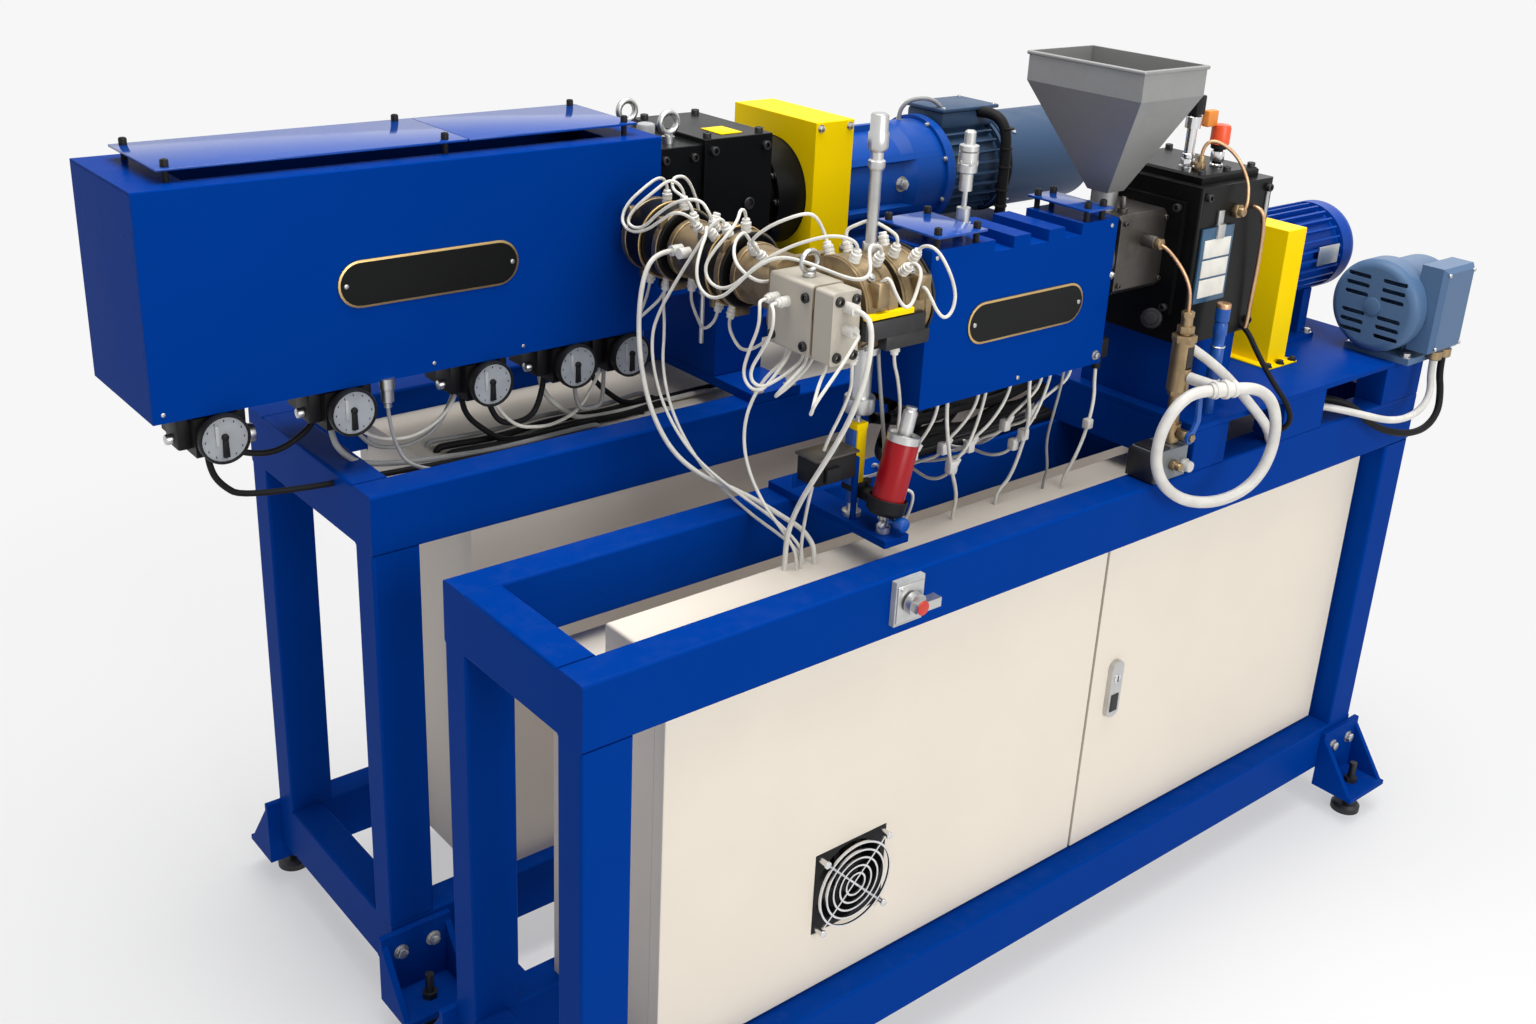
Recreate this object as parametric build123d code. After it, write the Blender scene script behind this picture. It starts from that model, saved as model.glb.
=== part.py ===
"""A tandem laboratory plastic extruder: two linked screw units on welded tube frames.

Millimetres, +Z up. The origin is on the floor, under the middle of the front unit's left front
levelling foot. X runs along the screws towards the drives, Y from the front unit to the rear one.
"""
from build123d import *
from math import pi, radians, tan
import os

os.makedirs("parts", exist_ok=True)

# Welded tube frames
FRAME_LEN = 1590.0
FRONT_DEPTH = 286.0
REAR_DEPTH = 365.0
FRAME_GAP = 177.0
FRONT_TOP = 755.0
REAR_TOP = 788.0
RAIL_H = 80.0
RAIL_W = 48.0
LEG_X = 64.0
TUBE_ROUND = 4.0
RING_BOTTOM = 78.0
LINK_R = 13.0
LINK_X = 44.0

# Levelling feet and their brackets
FOOT_OUT = 42.0
PAD_R = 24.0
PAD_H = 14.0
STUD_R = 6.0
STUD_TOP = 92.0
NUT_R = 11.0
NUT_H = 9.0
BRACKET_W = 104.0
BRACKET_OUT = 76.0
BRACKET_BOTTOM = 46.0
BRACKET_TOP = 150.0
BRACKET_T = 9.0

# Front cabinet with its door, fan and main switch
PANEL_BACK = 35.0
PANEL_T = 20.0
SHEET_T = 4.0
SEAM = 0.5
CABINET_X0 = 130.0
CABINET_TOP = 645.0
CABINET_BACK = 262.0
DOOR_X0 = 885.0
DOOR_GAP = 5.0
DOOR_EDGE_GAP = 10.0
DOOR_SWING_GAP = 8.0
HINGE_INSET = 8.0
HINGE_PIN_R = 4.0
HINGE_PIN_INSERT = 12.0
HINGE_PLAY = 0.3
HANDLE_X = 932.0
HANDLE_Z = 419.0
HANDLE_W = 26.0
HANDLE_H = 92.0
HANDLE_T = 8.0
FAN_X = 429.0
FAN_Z = 309.0
FAN_SIZE = 120.0
FAN_SCREW = 105.0
FAN_BORE_R = 57.0
FAN_DEPTH = 38.0
FAN_ROUND = 5.0
FAN_PLAY = 0.4
FAN_SHAFT_R = 3.0
SPIDER_T = 5.0
ROTOR_R = 51.0
ROTOR_HUB_R = 20.0
BLADES = 7
BLADE_PITCH = 38.0
WIRE = 2.6
GUARD_RINGS = (17.0, 28.0, 39.0, 50.0, 61.0)
GUARD_SCREW_R = 4.0
DUCT_BACK = 152.0
DUCT_TOP = 720.0
SWITCH_X = 449.0
SWITCH_Z = 722.0
SWITCH_W = 46.0
SWITCH_H = 58.0
SWITCH_T = 8.0
KNOB_SHAFT_R = 6.0
KNOB_R = 14.0
KNOB_T = 10.0
KNOB_LEVER = (-9.0, 30.0)
KNOB_LEVER_W = 12.0
KNOB_LEVER_T = 14.0

# Rear cabinet
REAR_CABINET_X0 = 148.0
REAR_CABINET_SET = 24.0
REAR_CABINET_TOP = 752.0

# Both screw axes
AXIS_Z = 1045.0
FRONT_AXIS_Y = 143.0
REAR_AXIS_Y = 645.0

# Front unit
DECK_X0 = 991.0
DECK_H = 68.0
DECK_PLATE_T = 8.0
DECK_MIDDLE_POST = (1207.0, 1312.0)
DECK_END_POST = 108.0
DECK_BOLSTER = 77.0
PLINTH_INSET = 14.0
GEARBOX_X0 = 998.0
GEARBOX_LEN = 160.0
GEARBOX_HALF = 93.0
GEARBOX_BOTTOM = 923.0
GEARBOX_TOP = 1140.0
GEARBOX_FACE_T = 8.0
GEARBOX_FACE_EDGE = 22.0
GEARBOX_FACE_RISE = 40.0
OUTPUT_SHAFT_R = 26.0
LID_EDGE = 16.0
LID_T = 12.0
# Fittings on the lid: distance from the case's left and front faces, neck radius and height,
# head radius and height
LID_FITTINGS = ((40.0, 60.0, 6.0, 58.0, 10.0, 14.0), (92.0, 50.0, 6.5, 32.0, 12.0, 24.0))
FEED_X0 = 893.0
FEED_HALF = 48.0
FEED_BOTTOM = 998.0
FEED_TOP = 1105.0
BARREL_R = 32.0
HOPPER_X = 912.0
HOPPER_LEAN = 9.0
HOPPER_LX = 122.0
HOPPER_LY = 182.0
HOPPER_TOP = 1302.0
HOPPER_BAND = 38.0
HOPPER_NECK_R = 15.0
HOPPER_WALL = 2.0
HOPPER_RIM = 5.0
NECK_TOP = 1130.0
GUARD_X0 = 544.0
GUARD_X1 = 885.0
GUARD_HALF = 48.0
GUARD_BOTTOM = 907.0
GUARD_TOP = 1106.0
GUARD_WALL = 2.5
GUARD_BEND = 2.0
GUARD_SLOTS = (652.0, 716.0, 780.0)
GUARD_SLOT_W = 34.0
GUARD_SLOT_DEPTH = 15.0
BARREL_PLAY = 0.5
PLATE_T = 3.0
STANDOFF_R = 5.0
STANDOFF_H = 14.0
STANDOFF_INSET = 10.0
STANDOFF_CAP_H = 8.0
FRONT_PLATES = ((548.0, 632.0), (818.0, 866.0))
FRONT_PLATE_OVERHANG = 4.0
REAR_PLATES = ((-180.0, 203.0), (205.0, 455.0))
REAR_PLATE_HALF = 82.0
REAR_POST_INSET = 22.0
COUPLING_X0 = 1300.0
COUPLING_LEN = 48.0
COUPLING_Y0 = 100.0
COUPLING_Y1 = 262.0
COUPLING_TOP = 1034.0
COUPLING_FLANGE = 14.0
COUPLING_WALL = 3.0
MOTOR_Y = 205.0
MOTOR_Z = 960.0
MOTOR_R = 70.0
MOTOR_X0 = 1352.0
MOTOR_X1 = 1570.0
MOTOR_FIN = 9.0
MOTOR_FINS = 28
FIN_T = 3.0
FIN_SETBACK = 6.0
SHIELD_T = 10.0
MOTOR_COWL = 46.0
MOTOR_SHAFT_R = 16.0
SHAFT_ENTRY = 20.0
STAND_X = (1372.0, 1500.0)
STAND_HALF = 58.0
STAND_BASE_T = 8.0
STAND_FEET = (1380.0, 1470.0)
STAND_FOOT_L = 22.0
STAND_FOOT_HALF = 46.0
STAND_GRIP = 14.0
AUX_X0 = 1479.0
AUX_Y = 45.0
AUX_GAP = 9.0
AUX_R = 73.0
AUX_LEN = 140.0
AUX_BODY_R = 63.0
AUX_COVER_LEN = 46.0
AUX_COVER_WALL = 3.0
AUX_COVER_ROUND = 14.0
AUX_SLOT_L = 40.0
AUX_SLOT_W = 7.0
AUX_SLOT_Y = 30.0
AUX_SLOT_ROWS = (-44.0, -29.5, -15.0, 15.0, 29.5, 44.0)
AUX_FOOT_X = (19.0, 110.0)
AUX_FOOT_Y = (-66.0, 44.0)
AUX_FOOT_T = 10.0
AUX_NECK_X = (60.0, 114.0)
AUX_NECK_HALF = 30.0
BOX_X = (32.0, 120.0)
BOX_Z = (-60.0, 75.0)
BOX_T = 30.0
BOX_SINK = 12.0
BOX_SLANT = 14.0

# Rear unit
REAR_GUARD_X0 = -217.0
REAR_GUARD_X1 = 479.0
REAR_GUARD_HALF = 99.5
REAR_GUARD_BOTTOM = 899.0
REAR_GUARD_TOP = 1165.0
REAR_BARREL_R = 50.0
REAR_BARREL_X0 = -190.0
VENT_MARGIN = 34.0
ACTUATOR_X = (-141.0, 19.0, 211.0, 341.0, 429.0)
ACTUATOR_Z = 870.0
DIAL_R = 27.0
DIAL_Y = 540.0
DIAL_T = 14.0
ACTUATOR_W = (-28.0, 24.0)
ACTUATOR_HALF_H = 24.0
ACTUATOR_REAR = 22.0
STEM_R = 10.0
REAR_GEARBOX_X0 = 483.0
REAR_GEARBOX_SPLIT = 560.0
REAR_GEARBOX_X1 = 680.0
REAR_GEARBOX_HALF = 90.0
REAR_GEARBOX_BOTTOM = 952.0
REAR_GEARBOX_TOP = 1152.0
REAR_GEARBOX_STEP = 8.0
EYE_COLLAR_R = 9.0
EYE_RING_R = 14.0
EYE_WIRE_R = 4.5
EYE_INSET = 40.0
EYE_BACK = 34.0
PEDESTAL_T = 15.0
PEDESTAL_X1 = 1270.0
PEDESTAL_POSTS = (590.0, 900.0, 1180.0)
PEDESTAL_POST_L = 88.0
PEDESTAL_FOOT_T = 14.0
BELL_R = 80.0
BELL_NECK_R = 68.0
BELL_SET = 26.0
REAR_COUPLING_X0 = 757.0
REAR_COUPLING_LEN = 74.0
REAR_COUPLING_HALF = 95.0
REAR_COUPLING_TOP = 1160.0
REDUCER_X1 = 1064.0
REDUCER_R = 88.0
REDUCER_NOSE_R = 60.0
REDUCER_WAIST_R = 72.0
REDUCER_BELLY_R = 82.0
REDUCER_FLANGE_T = 16.0
REDUCER_RIB_T = 10.0
REDUCER_RIBS = (30.0, 90.0, 150.0, 210.0, 330.0)
REDUCER_FOOT_HALF = 70.0
REDUCER_FOOT_T = 14.0
REDUCER_WEB_HALF = 24.0
REAR_MOTOR_X1 = 1195.0
REAR_MOTOR_R = 80.0
REAR_MOTOR_FIN = 10.0
COWL_X1 = 1422.0
COWL_R = 80.0
COWL_ROUND = 14.0

# Melt line between the two barrels
PIPE_X = 445.0
PIPE_R = 22.0
DRUM_R = 48.0
DRUM_ROUND = 4.0
DRUM_RING_R = 50.0
DRUM_RING_T = 5.0
DRUMS_Y = ((305.0, 365.0), (436.0, 520.0))
UNION_R = 30.0
UNION_Y = (524.0, 545.0)
BAND_R = 37.0
BANDS_Y = ((214.0, 301.0), (369.0, 432.0))
ADAPTER_X0 = 388.0
ADAPTER_X1 = 436.0
CLAMP_FRONT_X1 = 430.0
CLAMP_FRONT_Y = (90.0, 121.0)
CLAMP_REAR_Y = (126.0, 201.0)
CLAMP_BOTTOM = 993.0
CLAMP_TOP = 1079.0
CLAMP_ROUND = 4.0
SEAM_INSET = 3.0
CORE_R = 19.0
CORE_PLAY = 0.3
FLANGE_T = 12.0
FLANGE_X = (396.0, 486.0)
FLANGE_Z = (1001.0, 1089.0)
FLANGE_ROUND = 12.0
HEAD_R = 57.0
HEAD_GAP = (486.0, 494.0)
SENSORS_X = (490.0, 642.0)
SENSOR_R = 7.0
SENSOR_HEAD_R = 12.0
SENSOR_NECK = 1215.0
SENSOR_TOPS = (1263.0, 1253.0)

# Small fittings
CAP_R = 7.0
CAP_LEN = 16.0
CAP_SPOTS_Y = (384.0, 400.0)
CAP_RISE = 10.0
CLAMP_CAP_RISES = (16.0, -10.0)
STRAINER_X = 966.0
STRAINER_R = 15.0
STRAINER_PIPE_R = 9.0
STRAINER_NECK_R = 8.0
STRAINER_Z = (76.0, 150.0, 184.0)
WINDOW_W = 14.0
WINDOW_DEPTH = 6.0
WINDOW_EDGE = 10.0
MANIFOLD_H = 44.0
MANIFOLD_LEFT = 52.0
MANIFOLD_INSET = 2.0
VALVE_Z = 60.0
VALVE_R = 13.0
VALVE_HALF_H = 13.0
VALVE_STEM_R = 4.0
VALVE_STEM_END = -12.0
LEVER_Y = (-10.0, -6.0)
LEVER_HUB_R = 9.0
LEVER_W = 9.0
LEVER_POINTS = ((0.0, 0.0), (12.0, 22.0), (8.0, 60.0))
BAR_X = 490.0
BAR_T = 10.0
BAR_HALF = 20.0
BAR_Y0 = 60.0
CAN_Y = 84.0
CAN_R = 22.0
CAN_H = 120.0
CAN_NECK_R = 9.0
CAN_NECK_H = 30.0
# Barrel support: rising steps above the cross bar as (height, radius)
FORK_H = 45.0
FORK_W = 36.0
FORK_SLOT = 14.0
SUPPORT_STEPS = ((73.0, 17.0), (12.0, 21.0), (82.0, 12.0))
SUPPORT_PAD_R = 20.0
SUPPORT_GAP = 0.4
GLAND_R = 9.0

# Cords: outside diameters and hand-chosen routes, from the front frame's left front top corner
HOSE_D = 16.0
MOTOR_LEAD_D = 11.0
HEATER_LEAD_D = 6.4
HOSE_POINTS = (
    (988, -52, 140), (1007, -59, 140), (1030, -67.5, 132), (1047, -73.5, 114), (1057, -77.5, 86),
    (1058, -78, 50), (1048, -74, 14), (1024, -65.5, -12), (984, -51, -24), (940, -34.5, -18),
    (904, -21.5, 6), (885, -15, 42), (885, -15.5, 82), (896, -19.5, 112), (912, -25, 131),
    (931, -31, 140), (950, -38, 140),
)
WHITE_LEAD = (
    (1556, -31, 72), (1556, -31, 48), (1556, -38, 20), (1532, -42, -2), (1484, -43, -9),
    (1434, -39, -3), (1388, -23, 11), (1352, 4, 20), (1330, 22, 23), (1312, 22, 23),
)
BLACK_LEAD = (
    (1584, -31, 72), (1584, -31, 46), (1592, -36, 14), (1582, -44, -18), (1544, -48, -36),
    (1496, -44, -37), (1452, -30, -27), (1420, -14, -9), (1396, -9, 12), (1374, 6, 26),
    (1348, 32, 29), (1330, 44, 29), (1312, 44, 29),
)
LONG_LEAD = (
    (391.7, 400, 300), (368, 400, 300), (351, 401, 276), (344, 402, 222), (345, 396, 156),
    (352, 380, 96), (364, 350, 50), (382, 312, 27), (398, 270, 22), (408, 226, 17), (415, 186, 9),
    (420, 156, 4), (422, 138, -8), (422, 132, -20), (422, 132, -35),
)
PLATE_LEAD = (
    (409, 74, 306), (409, 56, 306), (408, 45, 288), (404, 43, 250), (398, 51, 204), (391, 70, 154),
    (384, 96, 104), (381, 122, 56), (380, 136, 16), (380, 138, -12), (380, 138, -35),
)
CORDS = (
    ("coolant_hose", HOSE_POINTS, HOSE_D),
    ("motor_lead_white", WHITE_LEAD, MOTOR_LEAD_D),
    ("motor_lead_black", BLACK_LEAD, MOTOR_LEAD_D),
    ("heater_lead_long", LONG_LEAD, HEATER_LEAD_D),
    ("heater_lead_plate", PLATE_LEAD, HEATER_LEAD_D),
)

# Places that follow from the sizes above
X0 = -LEG_X / 2
Y0 = FOOT_OUT
FRONT_Y1 = Y0 + FRONT_DEPTH
REAR_Y0 = FRONT_Y1 + FRAME_GAP
REAR_Y1 = REAR_Y0 + REAR_DEPTH
RING_TOP = RING_BOTTOM + RAIL_H
FRONT_UNDER = FRONT_TOP - RAIL_H
DECK_TOP = FRONT_TOP + DECK_H
AUX_Z = DECK_TOP + AUX_GAP + AUX_R
FRONT_AXIS = Y0 + FRONT_AXIS_Y
REAR_AXIS = Y0 + REAR_AXIS_Y
PANEL_Y0 = Y0 + PANEL_BACK
PANEL_Y1 = PANEL_Y0 + PANEL_T
DOOR_X1 = FRAME_LEN - LEG_X - DOOR_EDGE_GAP
HINGE_X = X0 + DOOR_X1 - HINGE_INSET
HINGE_Y = PANEL_Y0 + HINGE_INSET


def block(x0, x1, y0, y1, z0, z1):
    """A box from its low corner to its high corner."""
    middle = Pos((x0 + x1) / 2, (y0 + y1) / 2, (z0 + z1) / 2)
    return middle * Box(x1 - x0, y1 - y0, z1 - z0)


def rod_x(x0, x1, y, z, r):
    """A round bar along X."""
    return Pos((x0 + x1) / 2, y, z) * Rot(0, 90, 0) * Cylinder(r, x1 - x0)


def rod_y(x, y0, y1, z, r):
    """A round bar along Y."""
    return Pos(x, (y0 + y1) / 2, z) * Rot(90, 0, 0) * Cylinder(r, y1 - y0)


def rod_z(x, y, z0, z1, r):
    """A round bar along Z."""
    return Pos(x, y, (z0 + z1) / 2) * Cylinder(r, z1 - z0)


def hex_z(x, y, z0, z1, r):
    """A hexagon bar along Z, r to its corners."""
    return Pos(x, y, z0) * extrude(RegularPolygon(r, 6), z1 - z0)


def tube_bar(x0, x1, y0, y1, z0, z1, axis):
    """A frame tube with its four long edges rounded."""
    bar = block(x0, x1, y0, y1, z0, z1)
    return fillet(bar.edges().filter_by(axis), TUBE_ROUND)


def place(point):
    """A route point, given from the front frame's left front top corner."""
    return Vector(X0 + point[0], Y0 + point[1], FRONT_TOP + point[2])


def cord(name, points, diameter):
    """A plain tube: straight runs joined by the largest tangent arcs that they leave room for."""
    spots = [place(point) for point in points]
    radii = []
    for before, here, after in zip(spots, spots[1:], spots[2:]):
        turn = radians((here - before).get_angle(after - here))
        shorter = min((here - before).length, (after - here).length)
        radii.append(0.45 * shorter / tan(turn / 2))
    path = FilletPolyline(*spots, radius=radii)
    tube = sweep(Plane(path @ 0, z_dir=path % 0) * Circle(diameter / 2), path=path)
    ideal = pi * diameter ** 2 / 4 * path.length
    print(name, "length", round(path.length), "volume ratio", round(tube.volume / ideal, 4))
    print("  radii", [round(r) for r in radii])
    return tube


def save(name, *shapes):
    """Write the solids of one node."""
    solids = []
    for shape in shapes:
        solids.extend(shape.solids())
    export_step(Compound(children=solids), f"parts/{name}.step")


def frame_tubes(y0, y1, top):
    """Legs, long rails and end rails of one frame: two rings held apart by four legs."""
    x1 = X0 + FRAME_LEN
    legs = []
    for lx in (X0, x1 - LEG_X):
        for ly in (y0, y1 - RAIL_W):
            legs.append(tube_bar(lx, lx + LEG_X, ly, ly + RAIL_W, RING_TOP, top - RAIL_H, Axis.Z))
    longs = []
    ends = []
    for z in (RING_BOTTOM, top - RAIL_H):
        for ly in (y0, y1 - RAIL_W):
            longs.append(tube_bar(X0, x1, ly, ly + RAIL_W, z, z + RAIL_H, Axis.X))
        for lx in (X0, x1 - RAIL_W):
            ends.append(tube_bar(lx, lx + RAIL_W, y0 + RAIL_W, y1 - RAIL_W, z, z + RAIL_H, Axis.Y))
    return legs, longs, ends


def foot_bracket(x, face, side):
    """A gusseted angle on a frame's face; side is -1 for a front face and 1 for a rear one."""
    half = BRACKET_W / 2
    out = face + side * BRACKET_OUT
    low, high = sorted((face, face + side * BRACKET_T))
    upright = block(x - half, x + half, low, high, BRACKET_BOTTOM, BRACKET_TOP)
    low, high = sorted((face, out))
    base = block(x - half, x + half, low, high, BRACKET_BOTTOM, BRACKET_BOTTOM + BRACKET_T)
    bracket = upright + base
    corners = [(face, BRACKET_BOTTOM), (out, BRACKET_BOTTOM), (face, BRACKET_TOP)]
    for gx in (x - half, x + half - BRACKET_T):
        outline = Plane.YZ.offset(gx) * make_face(Polyline(*corners, close=True))
        bracket += extrude(outline, BRACKET_T, dir=(1, 0, 0))
    bracket -= rod_z(
        x, face + side * FOOT_OUT, BRACKET_BOTTOM - 1, BRACKET_BOTTOM + BRACKET_T + 1, STUD_R + HINGE_PLAY
    )
    return bracket


def levelling_foot(x, y):
    """Pad, stud and the two nuts that pinch the bracket."""
    foot = rod_z(x, y, 0, PAD_H, PAD_R)
    foot = chamfer(foot.edges().group_by(Axis.Z)[-1], PAD_H / 3)
    foot += rod_z(x, y, PAD_H, STUD_TOP, STUD_R)
    foot += hex_z(x, y, BRACKET_BOTTOM - NUT_H, BRACKET_BOTTOM, NUT_R)
    plate_top = BRACKET_BOTTOM + BRACKET_T
    return foot + hex_z(x, y, plate_top, plate_top + NUT_H, NUT_R)


def feet(y0, y1):
    """Brackets and feet of one frame."""
    brackets = []
    pads = []
    for x in (0.0, FRAME_LEN - LEG_X):
        for face, side in ((y0, -1), (y1, 1)):
            brackets.append(foot_bracket(x, face, side))
            pads.append(levelling_foot(x, face + side * FOOT_OUT))
    return brackets, pads


front_legs, front_longs, front_ends = frame_tubes(Y0, FRONT_Y1, FRONT_TOP)
rear_legs, rear_longs, rear_ends = frame_tubes(REAR_Y0, REAR_Y1, REAR_TOP)
save("frame_legs", *front_legs, *rear_legs)
save("frame_long_rails", *front_longs, *rear_longs)
save("frame_end_rails", *front_ends, *rear_ends)
front_brackets, front_pads = feet(Y0, FRONT_Y1)
rear_brackets, rear_pads = feet(REAR_Y0, REAR_Y1)
save("foot_brackets", *front_brackets, *rear_brackets)
save("levelling_feet", *front_pads, *rear_pads)

link_z = RING_BOTTOM + RAIL_H / 2
links = []
for link_x in (X0 + LEG_X + LINK_X, X0 + FRAME_LEN - LEG_X - LINK_X):
    links.append(rod_y(link_x, FRONT_Y1, REAR_Y0, link_z, LINK_R))
save("frame_link_bars", *links)

# Front cabinet: sheet slabs standing on the lower ring, with hairline seams between them
cab_x0 = X0 + CABINET_X0
cab_x1 = X0 + FRAME_LEN - LEG_X - 1
cab_back = Y0 + CABINET_BACK
floor_top = RING_TOP + SHEET_T
inner_top = CABINET_TOP - SHEET_T
side_y0 = PANEL_Y1 + DOOR_SWING_GAP
wall_y1 = cab_back - SHEET_T - SEAM
wall_z0 = floor_top + SEAM
wall_z1 = inner_top - SEAM
save(
    "front_cabinet_walls",
    block(cab_x0, cab_x1, side_y0, cab_back, RING_TOP, floor_top),
    block(cab_x0, cab_x1, side_y0, cab_back, inner_top, CABINET_TOP),
    block(cab_x0, cab_x0 + SHEET_T, PANEL_Y1, wall_y1, wall_z0, wall_z1),
    block(cab_x1 - SHEET_T, cab_x1, side_y0, wall_y1, wall_z0, wall_z1),
    block(cab_x0, cab_x1, cab_back - SHEET_T, cab_back, wall_z0, wall_z1),
)
duct = block(cab_x0, cab_x1, side_y0, Y0 + DUCT_BACK, CABINET_TOP, DUCT_TOP)
save("front_cabinet_duct", fillet(duct.edges().group_by(Axis.Z)[-1], TUBE_ROUND))

panel_z0 = RING_TOP + DOOR_GAP
panel_z1 = FRONT_UNDER - DOOR_GAP
fan_x = X0 + FAN_X
panel = block(cab_x0, X0 + DOOR_X0 - DOOR_GAP, PANEL_Y0, PANEL_Y1, panel_z0, panel_z1)
fan_cut = FAN_SIZE / 2 + FAN_PLAY
panel -= block(
    fan_x - fan_cut, fan_x + fan_cut, PANEL_Y0 - 1, PANEL_Y1 + 1, FAN_Z - fan_cut, FAN_Z + fan_cut
)
save("front_fixed_panel", panel)

door = block(X0 + DOOR_X0, X0 + DOOR_X1, PANEL_Y0, PANEL_Y1, panel_z0, panel_z1)
bore_r = HINGE_PIN_R + HINGE_PLAY
for z0, z1 in ((panel_z0 - 1, panel_z0 + HINGE_PIN_INSERT), (panel_z1 - HINGE_PIN_INSERT, panel_z1 + 1)):
    door -= rod_z(HINGE_X, HINGE_Y, z0, z1, bore_r)
save("cabinet_door", door)
pin_reach = HINGE_PIN_INSERT - 1
save(
    "door_hinge_pins",
    rod_z(HINGE_X, HINGE_Y, RING_TOP, panel_z0 + pin_reach, HINGE_PIN_R),
    rod_z(HINGE_X, HINGE_Y, panel_z1 - pin_reach, FRONT_UNDER, HINGE_PIN_R),
)
handle_x = X0 + HANDLE_X
handle_y0 = PANEL_Y0 - HANDLE_T
lock = block(
    handle_x - HANDLE_W / 2, handle_x + HANDLE_W / 2, handle_y0, PANEL_Y0,
    HANDLE_Z - HANDLE_H / 2, HANDLE_Z + HANDLE_H / 2,
)
lock = fillet(lock.edges().filter_by(Axis.Y), HANDLE_W / 2.2)
save("door_lock_handle", lock)


def fan_housing():
    """Square fan frame set flush in the panel, with its spider and shaft."""
    half = FAN_SIZE / 2
    y1 = PANEL_Y0 + FAN_DEPTH
    frame = block(fan_x - half, fan_x + half, PANEL_Y0, y1, FAN_Z - half, FAN_Z + half)
    frame = fillet(frame.edges().filter_by(Axis.Y), FAN_ROUND)
    frame -= rod_y(fan_x, PANEL_Y0 - 1, y1 + 1, FAN_Z, FAN_BORE_R)
    spider = rod_y(fan_x, y1 - SPIDER_T, y1, FAN_Z, ROTOR_HUB_R)
    for turn in (45, 135):
        arm = Box(2 * FAN_BORE_R + 2, SPIDER_T - 1, SPIDER_T)
        spider += Pos(fan_x, y1 - SPIDER_T / 2, FAN_Z) * Rot(0, turn, 0) * arm
    spider += rod_y(fan_x, y1 - 3 * SPIDER_T, y1 - 1, FAN_Z, FAN_SHAFT_R)
    return frame + spider


def fan_rotor():
    """Hub with pitched blades, bored for the fan's shaft."""
    y1 = PANEL_Y0 + FAN_DEPTH
    hub_back = y1 - SPIDER_T - SEAM
    hub_front = PANEL_Y0 + DOOR_GAP
    rotor = rod_y(fan_x, hub_front, hub_back, FAN_Z, ROTOR_HUB_R)
    middle = (hub_front + hub_back) / 2
    root = ROTOR_HUB_R - 3
    span = ROTOR_R - root
    for i in range(BLADES):
        blade = Pos(root + span / 2, 0, 0) * Rot(BLADE_PITCH, 0, 0) * Box(span, 2, hub_back - hub_front - 6)
        rotor += Pos(fan_x, middle, FAN_Z) * Rot(0, 360 * i / BLADES, 0) * blade
    return rotor - rod_y(fan_x, y1 - 3 * SPIDER_T - 1, hub_back + 1, FAN_Z, FAN_SHAFT_R + HINGE_PLAY)


def finger_guard():
    """Wire rings in front of the fan on crossed arms that reach the four screws."""
    y1 = PANEL_Y0 - 4 * WIRE
    y0 = y1 - WIRE
    guard = None
    for r in GUARD_RINGS:
        ring = rod_y(fan_x, y0, y1, FAN_Z, r) - rod_y(fan_x, y0 - 1, y1 + 1, FAN_Z, r - WIRE)
        guard = ring if guard is None else guard + ring
    reach = FAN_SCREW / 2 * 2 ** 0.5
    for turn in (45, 135):
        guard += Pos(fan_x, y1 + WIRE / 2, FAN_Z) * Rot(0, turn, 0) * Box(2 * reach, WIRE, WIRE)
    for sx in (-1, 1):
        for sz in (-1, 1):
            x = fan_x + sx * FAN_SCREW / 2
            guard += rod_y(x, y0, PANEL_Y0, FAN_Z + sz * FAN_SCREW / 2, GUARD_SCREW_R)
    return guard


save("fan_housing", fan_housing())
save("fan_rotor", fan_rotor())
save("fan_finger_guard", finger_guard())

switch_x = X0 + SWITCH_X
switch_y = Y0 - SWITCH_T
plate = block(
    switch_x - SWITCH_W / 2, switch_x + SWITCH_W / 2, switch_y, Y0,
    SWITCH_Z - SWITCH_H / 2, SWITCH_Z + SWITCH_H / 2,
)
knob_y1 = switch_y - DOOR_GAP
shaft_end = knob_y1 - KNOB_T / 2
plate += rod_y(switch_x, shaft_end + 1, switch_y, SWITCH_Z, KNOB_SHAFT_R)
save("main_switch_plate", plate)
knob = rod_y(switch_x, knob_y1 - KNOB_T, knob_y1, SWITCH_Z, KNOB_R)
knob += block(
    switch_x + KNOB_LEVER[0], switch_x + KNOB_LEVER[1], knob_y1 - KNOB_LEVER_T - 4, knob_y1 - 4,
    SWITCH_Z - KNOB_LEVER_W / 2, SWITCH_Z + KNOB_LEVER_W / 2,
)
knob -= rod_y(switch_x, shaft_end, knob_y1 + 1, SWITCH_Z, KNOB_SHAFT_R + HINGE_PLAY)
save("main_switch_handle", knob)

# Rear cabinet: a closed housing in the rear frame
rear_cab = block(
    X0 + REAR_CABINET_X0, X0 + FRAME_LEN - LEG_X - 1,
    REAR_Y0 + REAR_CABINET_SET, REAR_Y1 - REAR_CABINET_SET, RING_TOP, REAR_TOP - RAIL_H,
)
rear_cab += block(
    X0 + REAR_CABINET_X0, X0 + FRAME_LEN - LEG_X - 1,
    REAR_Y0 + RAIL_W + 1, REAR_Y1 - RAIL_W - 1, REAR_TOP - RAIL_H - 1, REAR_CABINET_TOP,
)
save("rear_cabinet", rear_cab)

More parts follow.
